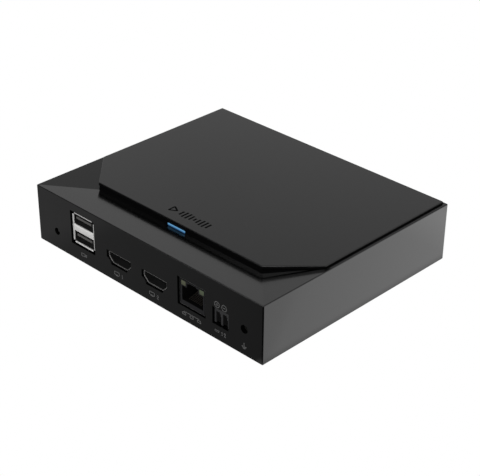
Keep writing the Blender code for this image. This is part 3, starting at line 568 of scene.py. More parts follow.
class StageSettings(PropertyGroup):
    """Camera and light."""
    azimuth: FloatProperty(
        name="Azimuth", description="Camera direction, from -Y towards +X",
        subtype="ANGLE", unit="ROTATION", default=math.radians(44.54))
    elevation: FloatProperty(
        name="Elevation", description="Camera height angle",
        subtype="ANGLE", unit="ROTATION", default=math.radians(30.145))
    roll: FloatProperty(
        name="Roll", description="Camera roll",
        subtype="ANGLE", unit="ROTATION", default=math.radians(0.375))
    distance: FloatProperty(
        name="Distance", description="Camera distance from its target",
        subtype="DISTANCE", unit="LENGTH", default=0.6194)
    lens: FloatProperty(
        name="Lens", description="Focal length on a 36 mm wide sensor",
        subtype="DISTANCE_CAMERA", default=99.69)
    sky: FloatProperty(
        name="Backdrop light", description="Brightness of the backdrop behind the object",
        min=0.0, max=5.0, default=0.51)


# ------------------------------------------------------------------ case
def middle_of(node):
    """Middle of a CAD node's box."""
    low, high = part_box(node)
    return (np.array(low) + np.array(high)) / 2


def build_finishes(case):
    """Makes the shader groups and every finish once."""
    groups["grain"] = moulded_grain_group()
    groups["handling"] = handling_group()
    groups["drawn"] = drawn_metal_group()
    groups["shade"] = deep_shade_group()
    groups["window"] = window_light_group()
    black = tuple(case.colour)
    finishes["case"] = moulded("case_black", black, case.gloss, 6000.0, 4e-7, 0.02)
    finishes["plate"] = moulded("plate_black", black, case.gloss, 7000.0, 3e-7, 0.02)
    finishes["cover"] = moulded("cover_black", (0.012, 0.012, 0.013), 0.55, 3000.0, 8e-6)
    finishes["rubber"] = moulded("rubber_black", (0.014, 0.014, 0.014), 0.82, 2200.0, 1e-5,
                                 0.06, 0.6)
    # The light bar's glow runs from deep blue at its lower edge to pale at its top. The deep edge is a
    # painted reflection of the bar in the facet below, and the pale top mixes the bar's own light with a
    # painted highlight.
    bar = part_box("status_light_guide")[1].z - 0.00145
    finishes["light"] = lit_plastic("light_blue", (0.02, 0.06, 0.12), (0.002, 0.022, 0.075),
                                    tuple(case.light_colour), case.light_strength, bar, 0.0008)
    finishes["guide"] = moulded("guide_smoke", (0.004, 0.010, 0.020), 0.3)
    for lamp, tint in (("link_lamp", (0.083, 0.086, 0.052)),
                       ("activity_lamp", (0.064, 0.094, 0.052))):
        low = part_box(lamp)[0].z
        finishes[lamp] = lit_plastic(lamp, (0.05, 0.055, 0.035),
                                     tuple(channel * 0.25 for channel in tint), tint, 0.35,
                                     low, LAMP_RISE, 0.35)
    finishes["status_lamp"] = moulded("lamp_white", (0.80, 0.80, 0.70), 0.4)
    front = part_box("upper_housing")[0].y
    finishes["steel"] = shade_inside(sheet_metal("socket_steel", (0.90, 0.895, 0.885), 0.50),
                                     front + 0.0009, 0.0003, (0.004, 0.004, 0.004))
    finishes["band_tin"] = shade_inside(
        sheet_metal("band_tin", (0.90, 0.895, 0.885), 0.55, metal=0.6), front + 0.0010, 0.0003,
        (0.004, 0.004, 0.004))
    finishes["video_nickel"] = shade_inside(
        sheet_metal("video_nickel", (0.27, 0.267, 0.264), 0.55), front + 0.0009, 0.0004)
    finishes["screen_nickel"] = shade_inside(
        sheet_metal("screen_nickel", (0.07, 0.07, 0.07), 0.45), front + 0.0008, 0.0006)
    finishes["plain_steel"] = sheet_metal("plain_steel", (0.60, 0.60, 0.60), 0.36)
    finishes["screw"] = sheet_metal("screw_steel", (0.20, 0.20, 0.21), 0.36)
    finishes["gold"] = shade_inside(sheet_metal("contact_gold", (0.83, 0.62, 0.28), 0.24),
                                    front + 0.0012, 0.0006, (0.008, 0.005, 0.002))
    finishes["brass"] = shade_inside(sheet_metal("brass", (0.62, 0.46, 0.20), 0.34),
                                     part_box("earth_insert")[0].y - 0.0004, 0.0002, (0.002, 0.0015, 0.001))
    finishes["core_white"] = shade_inside(moulded("core_white", (0.060, 0.058, 0.056), 0.6, 3500.0),
                                          front + 0.0012, 0.0004)
    finishes["core_black"] = shade_inside(
        moulded("core_black", (0.011, 0.011, 0.012), 0.42, 3500.0), front + 0.0004, 0.0006)
    finishes["jack"] = shade_inside(moulded("jack_black", (0.014, 0.014, 0.015), 0.42, 3500.0),
                                    front + 0.0008, 0.0005)
    for name in ("core_black", "jack"):
        finishes[name].set("Specular IOR Level", 0.12)
    finishes["chip"] = moulded("chip_black", (0.020, 0.020, 0.022), 0.58, 4200.0, 6e-6)
    finishes["board"] = shade_inside(board_finish(), front + BOARD_SHADE[0], BOARD_SHADE[1])
    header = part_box("power_header")[0].y
    finishes["header"] = shade_inside(
        moulded("header_black", (0.020, 0.020, 0.021), 0.42, 3500.0), header + 0.0002, 0.0004)
    finishes["pins"] = shade_inside(sheet_metal("pin_steel", (0.60, 0.60, 0.60), 0.36),
                                    header + 0.0006, 0.0010)
    finishes["pad"] = moulded("pad_grey", (0.40, 0.42, 0.46), 0.85, 1800.0, 1e-5)
    finishes["sink"] = sheet_metal("sink_black", (0.035, 0.035, 0.036), 0.45,
                                   (9000.0, 500.0, 9000.0))
    finishes["coil"] = moulded("coil_grey", (0.10, 0.10, 0.10), 0.7, 2500.0, 1.2e-5)
    finishes["can"] = sheet_metal("can_aluminium", (0.80, 0.80, 0.82), 0.3,
                                  (9000.0, 9000.0, 400.0))
    finishes["button"] = shade_inside(moulded("button_grey", (0.020, 0.020, 0.020), 0.5, 3000.0),
                                      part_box("reset_button")[0].y - 0.0006, 0.0010)
    finishes["label"] = moulded("label_silver", (0.34, 0.34, 0.345), 0.42, 2400.0, 3e-6)
    finishes["ink"] = moulded("mark_ink", tuple(case.ink), 0.6, 5200.0, 2e-6)
    finishes["dark_ink"] = moulded("plate_mark", (0.0008, 0.0008, 0.0009), 0.6, 5200.0)
    finishes["dark_ink"].set("Specular IOR Level", 0.03)
    finishes["label_ink"] = moulded("label_ink", (0.03, 0.03, 0.03), 0.6, 5200.0)


def dress_frame():
    """Every CAD node that stays gets its finish."""
    dress(finishes["case"], "upper_housing")
    dress(finishes["plate"], "top_plate")
    dress(finishes["cover"], "bottom_cover")
    dress(finishes["guide"], "status_light_guide")
    dress(finishes["status_lamp"], "status_lamp")
    dress(finishes["rubber"], *[f"rubber_foot_{n}" for n in range(1, 5)])
    dress(finishes["screw"], *[f"case_screw_{n}" for n in range(1, 5)],
          *[f"board_screw_{n}" for n in range(1, 5)])
    dress(finishes["board"], "main_board")
    dress(finishes["chip"], "processor", "memory_chip_1", "memory_chip_2", "storage_chip",
          "network_chip", "network_transformer", "cell_holder", "reset_switch")
    dress(finishes["pad"], "thermal_pad")
    dress(finishes["sink"], "heat_sink")
    dress(finishes["coil"], "power_coil_1", "power_coil_2")
    dress(finishes["can"], "capacitor_1", "capacitor_2", "capacitor_3", "backup_cell")
    dress(finishes["plain_steel"], "earth_bracket")
    dress(finishes["pins"], "power_pin_1", "power_pin_2")
    dress(finishes["header"], "power_header")
    dress(finishes["steel"], "data_socket_shell")
    dress(finishes["video_nickel"], "video_socket_shell_1", "video_socket_shell_2")
    dress(finishes["screen_nickel"], "network_jack_screen")
    dress(finishes["brass"], "earth_insert")
    dress(finishes["core_white"], "data_socket_core")
    dress(finishes["core_black"], "video_socket_core_1", "video_socket_core_2")
    dress(finishes["jack"], "network_jack_body")
    for name in ("link_lamp", "activity_lamp"):
        dress(finishes[name], name)
    dress(finishes["button"], "reset_button")
    dress(finishes["label"], "rating_label")


def make_light_lens():
    """The nose of the light guide: a low bar whose face swells as a squared ellipse.

    Across u the outline is a slim softened rectangle, and the profile steps back from the
    edge as (1 - s^4), so the face is nearly flat and rolls off at its rim.
    """
    low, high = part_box("status_light_guide")
    front = low.y
    nose_low = high.z - 0.00178
    nose_high = high.z - 0.00052
    outline = softened(rectangle(high.x - low.x, nose_high - nose_low), 0.0003, 6)
    share = np.linspace(0.0, 1.0, 7)
    profile = np.stack([-0.00028 * share ** 2, front - 0.00016 * (1 - (1 - share) ** 4)],
                       axis=1)
    profile = np.concatenate([[(0.0, front + 0.0001)], profile])
    surfaces = Surfaces()
    centre = (0.0, 0.0, (nose_low + nose_high) / 2)
    surfaces.tube(carried(outline, profile, centre, 1))
    make_piece("status_light_lens", surfaces, finishes["light"].material)


# ------------------------------------------------------------------ sockets
def make_data_shell(sockets):
    """The stacked data sockets' folded shell, and the band between its two mouths.

    The shell is a tube of bent sheet with four lips that flare from it in quarter circles,
    and two sprung tongues in the roof and floor of each mouth. The folded band is a piece of
    its own with a duller finish.
    """
    low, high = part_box("data_socket_shell")
    size = np.array(high) - np.array(low)
    centre = middle_of("data_socket_shell")
    sheet = sockets.sheet
    lip = sockets.lip
    front = low.y
    surfaces = Surfaces()
    tube_width = size[0] - 2 * lip
    tube_height = size[2] - 2 * lip
    outline = softened(rectangle(tube_width, tube_height), 0.0004, 4)
    start = front + lip
    wall = [(0.0, start), (0.0, high.y), (-sheet, high.y), (-sheet, start)]
    surfaces.grid(carried(outline, wall, (centre[0], 0.0, centre[2]), 1), True, True)
    box_surface(surfaces, (low.x + lip, high.y - sheet, low.z + lip),
                (high.x - lip, high.y, high.z - lip))

    angle = np.linspace(0.0, math.pi / 2, 7)
    turn_radius = 0.0003
    flare = turn_radius * np.stack([1 - np.cos(angle), -np.sin(angle)], axis=1)
    flare[:, 1] += turn_radius + sheet / 2 - lip
    flare = np.concatenate([[(0.0, 0.0006)], flare, [(lip, flare[-1, 1])]])
    bend = sheet_section(flare, sheet)
    for side in (-1, 1):
        edge = centre[0] + side * (tube_width - sheet) / 2
        section = np.stack([edge + side * bend[:, 0], start + bend[:, 1]], axis=1)
        half = tube_height / 2 - 0.0006
        surfaces.bar(section, (centre[2] - half, centre[2] + half), 2)
        edge = centre[2] + side * (tube_height - sheet) / 2
        section = np.stack([start + bend[:, 1], edge + side * bend[:, 0]], axis=1)
        half = tube_width / 2 - 0.0008
        surfaces.bar(section, (centre[0] - half, centre[0] + half), 0)

    band = 0.00322
    back = front + 0.0090
    edge = front + 0.0002
    turn = np.linspace(0.0, math.pi / 2, 5)
    bend_radius = 0.00035
    upper = np.stack([edge + bend_radius * (1 - np.sin(turn)),
                      band / 2 - bend_radius * (1 - np.cos(turn))], axis=1)
    lower = upper[::-1] * [1, -1]
    fold = np.concatenate([[(back, band / 2)], upper, lower, [(back, -band / 2)]])
    fold[:, 1] += centre[2]
    folded = Surfaces()
    folded.bar(sheet_section(fold, sheet), (low.x + lip + sheet, high.x - lip - sheet), 0)
    make_piece("data_band", folded, finishes["band_tin"].material)

    run = np.linspace(0.0, 1.0, 12)
    sag = 0.00045 * np.sin(math.pi * run) ** 2
    for roof, inward in ((high.z - lip - sheet, -1), (low.z + lip + sheet, 1),
                         (centre[2] + band / 2, 1), (centre[2] - band / 2, -1)):
        line = np.stack([start + 0.0008 + 0.0062 * run, roof + inward * (sag + 0.0001)],
                        axis=1)
        section = sheet_section(line, 0.0002)
        for place in (-0.0031, 0.0031):
            surfaces.bar(section, (centre[0] + place - 0.0010, centre[0] + place + 0.0010), 0)
    make_piece("data_shell", surfaces, finishes["steel"].material,
               ("data_socket_shell",))


def make_data_contacts():
    """Four flat contacts under each tongue of the data sockets' core."""
    low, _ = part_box("data_socket_core")
    centre = middle_of("data_socket_shell")
    surfaces = Surfaces()
    for side in (-1, 1):
        under = centre[2] + side * MOUTH_MIDDLE + TONGUE_UNDER
        for place in (-0.0035, -0.0010, 0.0010, 0.0035):
            box_surface(surfaces, (centre[0] + place - 0.0005, low.y + 0.0008, under - 0.00012),
                        (centre[0] + place + 0.0005, low.y + 0.0076, under + 0.00005), 0.0001)
    make_piece("data_contacts", surfaces, finishes["gold"].material)


def video_outline():
    """A video socket's outline about its own centre: a bar with its lower corners cut off."""
    low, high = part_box("video_socket_shell_1")
    half = (high.x - low.x) / 2
    up = (high.z - low.z) / 2
    cut = 0.0027
    return [(half - cut, -up), (half, -up + cut), (half, up), (-half, up),
            (-half, -up + cut), (-half + cut, -up)]


def make_video_socket(number):
    """One video socket's drawn shell with a flat, lightly chamfered front edge, and its contact rows."""
    low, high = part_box(f"video_socket_shell_{number}")
    centre = middle_of(f"video_socket_shell_{number}")
    outline = softened(video_outline(), 0.0006, 6)
    sheet = 0.00042
    nip = 0.00008
    wall = [(0.0, high.y), (0.0, low.y + nip), (-nip, low.y), (nip - sheet, low.y),
            (-sheet, low.y + nip), (-sheet, high.y)]
    surfaces = Surfaces()
    surfaces.grid(carried(outline, wall, (centre[0], 0.0, centre[2]), 1), True, True)
    make_piece(f"video_shell_{number}", surfaces, finishes["video_nickel"].material,
               (f"video_socket_shell_{number}",))

    core_low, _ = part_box(f"video_socket_core_{number}")
    tongue_top = low.z + 0.0037
    tongue_base = low.z + 0.0027
    contacts = Surfaces()
    for index in range(10):
        x = centre[0] + (index - 4.5) * VIDEO_PITCH
        box_surface(contacts, (x - 0.00016, core_low.y + 0.0005, tongue_top - 0.00004),
                    (x + 0.00016, core_low.y + 0.0052, tongue_top + 0.00010), 0.00004)
    for index in range(9):
        x = centre[0] + (index - 4) * VIDEO_PITCH
        box_surface(contacts, (x - 0.00016, core_low.y + 0.0005, tongue_base - 0.00010),
                    (x + 0.00016, core_low.y + 0.0052, tongue_base + 0.00004), 0.00004)
    make_piece(f"video_contacts_{number}", contacts, finishes["gold"].material)


def make_network_contacts(sockets):
    """Eight sprung wires that rise from the jack's floor towards its back.

    Each wire is a circle carried along a line in its own upright plane: flat at the mouth,
    then climbing at a third of its run, with a smooth start.
    """
    low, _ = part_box("network_jack_body")
    centre = middle_of("network_jack_body")
    floor = low.z + 0.0027
    run = np.linspace(0.0, 1.0, 16)
    y = low.y + 0.0016 + 0.0100 * run
    z = floor + 0.0003 + 0.0040 * (run ** 1.5)
    line = np.stack([y, z], axis=1)
    along = np.gradient(line, axis=0)
    along /= np.linalg.norm(along, axis=1)[:, None]
    ring = circle(sockets.wire / 2, 10)
    surfaces = Surfaces()
    for index in range(8):
        x = centre[0] + (index - 3.5) * NETWORK_PITCH
        across = ring[:, None, 0] + x + 0 * run[None, :]
        lift_y = -along[None, :, 1] * ring[:, None, 1] + y[None, :]
        lift_z = along[None, :, 0] * ring[:, None, 1] + z[None, :]
        surfaces.tube(np.stack([across, lift_y, lift_z], axis=-1))
    make_piece("network_contacts", surfaces, finishes["gold"].material)


def make_network_screen(sockets):
    """The jack's folded screen: a thin tube of sheet whose front edge is rolled in."""
    low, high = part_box("network_jack_screen")
    centre = middle_of("network_jack_screen")
    size = np.array(high) - np.array(low)
    sheet = sockets.sheet
    outline = softened(rectangle(size[0], size[2]), 0.0005, 5)
    roll = np.linspace(0.0, math.pi, 7)
    edge = np.stack([-sheet / 2 + sheet / 2 * np.cos(roll),
                     low.y + sheet / 2 - sheet / 2 * np.sin(roll)], axis=1)
    wall = np.concatenate([[(0.0, high.y)], edge, [(-sheet, high.y)]])
    surfaces = Surfaces()
    surfaces.grid(carried(outline, wall, (centre[0], 0.0, centre[2]), 1), True, True)
    box_surface(surfaces, (low.x + sheet, high.y - sheet, low.z + sheet),
                (high.x - sheet, high.y, high.z - sheet))
    make_piece("network_screen", surfaces, finishes["screen_nickel"].material,
               ("network_jack_screen",))


def thread_ridge(depth, angle):
    """A screw thread's height from 0 to 1: |2 frac(depth / pitch - angle / turn) - 1|."""
    return np.abs(2 * np.mod(depth / THREAD_PITCH - angle / (2 * math.pi), 1.0) - 1)


def make_earth_insert():
    """The earth insert: a knurled barrel with a screw thread cut in its bore.

    The bore's radius carries a thread ridge that climbs one pitch in a turn, and the
    barrel's a fine cosine knurl.
    """
    low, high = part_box("earth_insert")
    centre = middle_of("earth_insert")
    turns = np.linspace(0.0, 2 * math.pi, 60, endpoint=False)[:, None]
    depth = np.linspace(low.y, high.y, 41)[None, :]
    ridge = thread_ridge(depth, turns)
    outer = (high.x - low.x) / 2
    bore = outer - 0.0018 + 0.00025 * ridge
    barrel = outer - 0.0001 + 0.0001 * np.cos(20 * turns) + 0 * depth
    radius = np.concatenate([barrel, bore[:, ::-1]], axis=1)
    along = np.concatenate([depth, depth[:, ::-1]], axis=1) + 0 * radius
    points = np.stack([centre[0] + radius * np.cos(turns), along,
                       centre[2] + radius * np.sin(turns)], axis=-1)
    surfaces = Surfaces()
    surfaces.grid(points, True, True)
    make_piece("threaded_insert", surfaces, finishes["brass"].material,
               ("earth_insert",))


# ------------------------------------------------------------------ printed marks
def stroke(surfaces, points, width, plane, closed=False):
    """A flat ribbon of ink along a line, in (a, b) of the plane it is printed on.

    Each point moves half the width to both sides of the line's direction; open ends run on
    by half a width. plane(a, b, lift) gives the place in space.
    """
    line = np.asarray(points, float)
    if closed:
        along = np.roll(line, -1, axis=0) - np.roll(line, 1, axis=0)
    else:
        along = np.gradient(line, axis=0)
    along /= np.linalg.norm(along, axis=1)[:, None]
    if not closed:
        line = line.copy()
        line[0] -= along[0] * width / 2
        line[-1] += along[-1] * width / 2
    side = np.stack([along[:, 1], -along[:, 0]], axis=1) * width / 2
    rails = [(line + side, PROUD * 0.2), (line + side * 0.9, PROUD), (line - side * 0.9, PROUD),
             (line - side, PROUD * 0.2)]
    grid = np.stack([plane(rail[:, 0], rail[:, 1], lift) for rail, lift in rails], axis=1)
    surfaces.grid(grid, wrap_u=closed, wrap_v=True)
    if not closed:
        for end in (grid[0], grid[-1]):
            surfaces.grid(np.stack([end[:2], end[2:][::-1]], axis=1))


def on_front_wall(a, b, lift):
    """Places ink on the front wall: a is X, b is Z."""
    low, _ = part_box("upper_housing")
    return np.stack([a, np.full_like(a, low.y - lift), b], axis=-1)


def on_plate(a, b, lift):
    """Places ink on the top plate: a is X, b is Y."""
    _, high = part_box("top_plate")
    return np.stack([a, b, np.full_like(a, high.z + lift)], axis=-1)


def on_label(a, b, lift):
    """Places ink on the underside's label: a is X, b is Y."""
    low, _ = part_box("rating_label")
    return np.stack([a, b, np.full_like(a, low.z - lift)], axis=-1)


def straight(start, end):
    """Three points along a straight stroke."""
    return np.linspace(np.asarray(start, float), np.asarray(end, float), 3)


def arc(centre, radius, start, end, count=24):
    """Points along an arc, angles in degrees."""
    angle = np.radians(np.linspace(start, end, count))
    return np.asarray(centre) + radius * np.stack([np.cos(angle), np.sin(angle)], axis=1)


def ring_points(centre, radius, count=28):
    """Points round a closed circle."""
    return np.asarray(centre) + circle(radius, count)


def numeral(digit, centre, height):
    """Stroke lines of the numerals 1 and 2."""
    x, z = centre
    half = height / 2
    if digit == 1:
        return [np.array([(x - half * 0.4, z + half * 0.6), (x, z + half), (x, z), (x, z - half)])]
    bow = arc((x, z + half * 0.45), half * 0.5, 170, -35, 14)
    foot = np.array([(x - half * 0.5, z - half), (x + half * 0.1, z - half),
                     (x + half * 0.6, z - half)])
    return [np.concatenate([bow, [(x - half * 0.5, z - half)]]), foot]


def make_port_marks():
    """Pictograms under the sockets: plug, screens with numerals, network, direct current."""
    marks = Surfaces()
    level = middle_of("upper_housing")[2] - 0.0100

    def draw(lines, closed=False):
        for line in lines:
            stroke(marks, line, PORT_INK, on_front_wall, closed)

    x = middle_of("data_socket_shell")[0]
    draw([softened(rectangle(0.0022, 0.0014), 0.0003, 4) + (x - 0.0006, level)], True)
    draw([softened(rectangle(0.0013, 0.0009), 0.0001, 3) + (x + 0.00125, level)], True)
    draw([straight((x + 0.0012, level + 0.0002), (x + 0.0012, level - 0.0002))])

    for digit in (1, 2):
        x = middle_of(f"video_socket_shell_{digit}")[0]
        draw([softened(rectangle(0.0032, 0.0016), 0.0003, 4) + (x - 0.0016, level + 0.0002)],
             True)
        draw([straight((x - 0.0023, level - 0.0010), (x - 0.0009, level - 0.0010))])
        draw(numeral(digit, (x + 0.0020, level - 0.0001), NUMERAL_HEIGHT))

    x = middle_of("network_jack_body")[0]
    cell = rectangle(0.0020, 0.0010)
    for offset in (-0.0046, 0.0, 0.0046):
        draw([softened(cell, 0.00015, 3) + (x + offset, level - 0.0005)], True)
        draw([straight((x + offset, level), (x + offset, level + 0.0005))])
    draw([straight((x - 0.0046, level + 0.0006), (x + 0.0046, level + 0.0006))])

    x = middle_of("power_header")[0]
    draw([straight((x - 0.0032, level + 0.0004), (x - 0.0008, level + 0.0004))])
    for step in range(3):
        dash = x - 0.0031 + step * 0.0009
        draw([straight((dash, level - 0.0003), (dash + 0.0003, level - 0.0003))])
    draw(numeral(1, (x + 0.0010, level), NUMERAL_HEIGHT))
    draw(numeral(2, (x + 0.0026, level), NUMERAL_HEIGHT))

    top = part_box("power_header")[1].z
    for place, plus in ((-0.0020, True), (0.0022, False)):
        spot = (x + place, top + 0.0028)
        draw([ring_points(spot, 0.0014)], True)
        draw([straight((spot[0] - 0.0006, spot[1]), (spot[0] + 0.0006, spot[1]))])
        if plus:
            draw([straight((spot[0], spot[1] - 0.0006), (spot[0], spot[1] + 0.0006))])

    x = middle_of("earth_insert")[0]
    draw([straight((x, level + 0.0016), (x, level))])
    for row, half in enumerate((0.0012, 0.0008, 0.0004)):
        z = level - row * 0.0005
        draw([straight((x - half, z), (x + half, z))])
    make_piece("port_marks", marks, finishes["ink"].material)


def make_top_mark():
    """A generic mark behind the plate's front edge: a play triangle, then level bars.

    Bar lengths follow |sin|, so they swell and shrink along the row like a sound level.
    """
    low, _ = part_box("top_plate")
    y = low.y + 0.0073
    mark = Surfaces()
    triangle = np.array([(-0.0104, y - 0.0020), (-0.0068, y), (-0.0104, y + 0.0020)])
    stroke(mark, softened(triangle, 0.0004, 4), 0.0009, on_plate, True)
    for index in range(9):
        x = -0.0040 + index * 0.0021
        half = 0.0004 + 0.0015 * abs(math.sin(0.55 + index * 0.62))
        stroke(mark, straight((x, y - half), (x, y + half)), 0.00105, on_plate)
    make_piece("plate_mark", mark, finishes["dark_ink"].material)


# ------------------------------------------------------------------ underside
def make_feet():
    """Rubber feet: a revolved profile with a rolled rim and a shallow ring groove."""
    for number in range(1, 5):
        low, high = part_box(f"rubber_foot_{number}")
        centre = middle_of(f"rubber_foot_{number}")
        radius = (high.x - low.x) / 2
        turn = np.linspace(0.0, math.pi / 2, 7)
        roll = 0.0007
        rim = np.stack([roll * (np.sin(turn) - 1), low.z + roll * (1 - np.cos(turn))], axis=1)
        groove = np.linspace(0.0, 1.0, 9)
        ring = np.stack([-0.0034 + 0.0012 * groove,
                         low.z + 0.00025 * np.sin(math.pi * groove) ** 2], axis=1)
        profile = np.concatenate([[(-radius + 0.0002, low.z)], ring, rim,
                                  [(0.0, high.z - 0.0001), (-0.0001, high.z)]])
        surfaces = Surfaces()
        outline = circle(radius, 56)
        surfaces.tube(carried(outline, profile, (centre[0], centre[1], 0.0), 2))
        make_piece(f"foot_{number}", surfaces, finishes["rubber"].material,
                   (f"rubber_foot_{number}",))


def make_screws():
    """Pan-head screws with a cross recess and a rolled thread.

    The head's height over (angle, radius) is its dome less a recess that is deep where the
    point lies within half an arm's width of either axis and inside the recess's reach. The
    shank's radius carries a thread ridge.
    """
    names = [f"case_screw_{n}" for n in range(1, 5)] + [f"board_screw_{n}" for n in range(1, 5)]
    angle = np.linspace(0.0, 2 * math.pi, 64, endpoint=False)[:, None]
    share = np.concatenate([np.linspace(0.04, 0.7, 14), [0.8, 0.9, 0.96, 1.0]])[None, :]
    for name in names:
        low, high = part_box(name)
        centre = middle_of(name)
        points_up = name.startswith("case")
        seat = low.z + 0.0008 if points_up else high.z - 0.0008
        away = 1 if points_up else -1
        head_radius = (high.x - low.x) / 2
        radius = share * head_radius
        dome = 0.0008 - 0.00045 * share ** 6
        x = radius * np.cos(angle)
        y = radius * np.sin(angle)
        arm = 0.00034
        reach = np.clip((0.00155 - radius) / 0.0002, 0.0, 1.0)
        nearest = np.minimum(np.abs(x), np.abs(y))
        inside = np.clip((arm - nearest) / 0.00012, 0.0, 1.0) * reach
        height = dome - 0.0005 * inside
        head = np.stack([x, y, -away * height], axis=-1)
        under = np.stack([head_radius * np.cos(angle), head_radius * np.sin(angle),
                          0 * angle], axis=-1)
        along = np.linspace(0.0, 1.0, 60)[None, :]
        length = (high.z - seat) if points_up else (seat - low.z)
        depth = along * length
        ridge = thread_ridge(depth, angle)
        shank_radius = (0.0010 + 0.00018 * ridge) * np.clip((1.02 - along) * 8, 0.35, 1.0)
        shank = np.stack([shank_radius * np.cos(angle), shank_radius * np.sin(angle),
                          away * depth + 0 * angle], axis=-1)
        points = np.concatenate([head, under, shank], axis=1)
        surfaces = Surfaces()
        surfaces.tube(points + (centre[0], centre[1], seat))
        piece = "cover_screw" if points_up else "standoff_screw"
        make_piece(f"{piece}_{name[-1]}", surfaces, finishes["screw"].material,
                   (name,))


def make_label_print():
    """A blank table on the underside's label: a border and empty rows."""
    low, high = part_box("rating_label")
    centre = middle_of("rating_label")
    width = high.x - low.x
    height = high.y - low.y
    table = Surfaces()
    border = softened(rectangle(width - 0.003, height - 0.003), 0.0008, 5) + centre[:2]
    stroke(table, border, 0.00025, on_label, True)
    for row in (-0.0042, 0.0, 0.0042):
        stroke(table, straight((low.x + 0.003, centre[1] + row),
                               (high.x - 0.003, centre[1] + row)), 0.00018, on_label)
    stroke(table, straight((centre[0], low.y + 0.003), (centre[0], high.y - 0.003)), 0.00018,
           on_label)
    make_piece("label_print", table, finishes["label_ink"].material)


# ------------------------------------------------------------------ stage
def make_camera(stage):
    """A long-lens camera set by azimuth, elevation, roll and distance."""
    az = stage.azimuth
    el = stage.elevation
    back = Vector((math.sin(az) * math.cos(el), -math.cos(az) * math.cos(el), math.sin(el)))
    right = Vector((math.cos(az), math.sin(az), 0.0))
    up = back.cross(right)
    target = Vector((0.0, 0.0, 0.0012)) + right * 0.000155 + up * 0.00422
    turned_right = math.cos(stage.roll) * right + math.sin(stage.roll) * up
    turned_up = back.cross(turned_right)
    data = bpy.data.cameras.new("view_camera")
    data.sensor_width = 36.0
    data.lens = stage.lens
    data.clip_start = 0.01
    camera = bpy.data.objects.new("view_camera", data)
    axes = Matrix((turned_right, turned_up, back)).transposed().to_4x4()
    camera.matrix_world = Matrix.Translation(target + back * stage.distance) @ axes
    bpy.context.scene.collection.objects.link(camera)
    bpy.context.scene.camera = camera


def make_floor():
    """A floor that the camera sees as white; the light it throws is set by place.

    It glows to the right, to the front, behind and to the left of the object, and is dim
    near the front right corner.
    """
    corners = rectangle(8.0, 8.0)
    mesh = bpy.data.meshes.new("floor")
    mesh.from_pydata([(x, y, -0.0002) for x, y in corners], [], [(0, 1, 2, 3)])
    floor = bpy.data.objects.new("floor", mesh)
    bpy.context.scene.collection.objects.link(floor)
    material = bpy.data.materials.new("studio_floor")
    material.use_nodes = True
    tree = material.node_tree
    tree.nodes.remove(tree.nodes["Principled BSDF"])
    place = tree.nodes.new("ShaderNodeSeparateXYZ")
    coordinates = tree.nodes.new("ShaderNodeTexCoord")
    tree.links.new(coordinates.outputs["Object"], place.inputs[0])
    high_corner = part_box("upper_housing")[1]
    low_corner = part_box("upper_housing")[0]
    beyond = maths(tree, "SUBTRACT", place.outputs["X"], high_corner.x)
    behind = maths(tree, "SUBTRACT", place.outputs["Y"], low_corner.y)
    right_edge = remap(tree, beyond, -0.006, 0.004, 0.0, 1.0)
    right_fan = maths(tree, "SUBTRACT", behind, maths(tree, "MULTIPLY", beyond, 0.62))
    right_fan = remap(tree, right_fan, -0.004, 0.001, 0.0, 1.0)
    right_glow = remap(tree, place.outputs["Y"], -0.06, 0.09, 1.30, 1.62)
    right_glow = remap(tree, place.outputs["Y"], 0.095, 0.16, right_glow, 0.40)
    to_right = maths(tree, "MULTIPLY", maths(tree, "MULTIPLY", right_edge, right_fan),
                     right_glow)
    front_fan = maths(tree, "SUBTRACT", maths(tree, "MULTIPLY", behind, 0.6), beyond)
    front_fan = remap(tree, front_fan, -0.001, 0.004, 0.0, 1.0)
    front_glow = remap(tree, place.outputs["X"], -0.11, 0.06, 0.235, 0.135)
    to_front = maths(tree, "MULTIPLY", front_fan, front_glow)
    to_back = remap(tree, place.outputs["Y"], 0.065, 0.095, 0.0, 0.35)
    to_left = remap(tree, place.outputs["X"], -0.125, -0.095, 0.35, 0.0)
    glow = maths(tree, "ADD", maths(tree, "ADD", to_right, to_back), to_front)
    glow = maths(tree, "MAXIMUM", glow, to_left)
    away = maths(tree, "SQRT", maths(tree, "ADD", maths(tree, "MULTIPLY", beyond, beyond),
                                     maths(tree, "MULTIPLY", behind, behind)), 0.0)
    glow = maths(tree, "MAXIMUM", glow, remap(tree, away, 0.085, 0.150, 0.0, 0.30))
    seen = tree.nodes.new("ShaderNodeEmission")
    unseen = tree.nodes.new("ShaderNodeEmission")
    tree.links.new(glow, unseen.inputs["Strength"])
    mix = tree.nodes.new("ShaderNodeMixShader")
    path = tree.nodes.new("ShaderNodeLightPath")
    tree.links.new(path.outputs["Is Camera Ray"], mix.inputs["Fac"])
    tree.links.new(unseen.outputs[0], mix.inputs[1])
    tree.links.new(seen.outputs[0], mix.inputs[2])
    tree.links.new(mix.outputs[0], tree.nodes["Material Output"].inputs["Surface"])
    mesh.materials.append(material)


def make_light(name, place, target, size, power):
    """A wide, low soft light aimed at a point."""
    data = bpy.data.lights.new(name, "AREA")
    data.shape = "RECTANGLE"
    data.size = size[0]
    data.size_y = size[1]
    data.energy = power
    light = bpy.data.objects.new(name, data)
    aim = (Vector(target) - Vector(place)).to_track_quat("-Z", "Y")
    light.matrix_world = Matrix.Translation(place) @ aim.to_matrix().to_4x4()
    light.visible_camera = False
    bpy.context.scene.collection.objects.link(light)


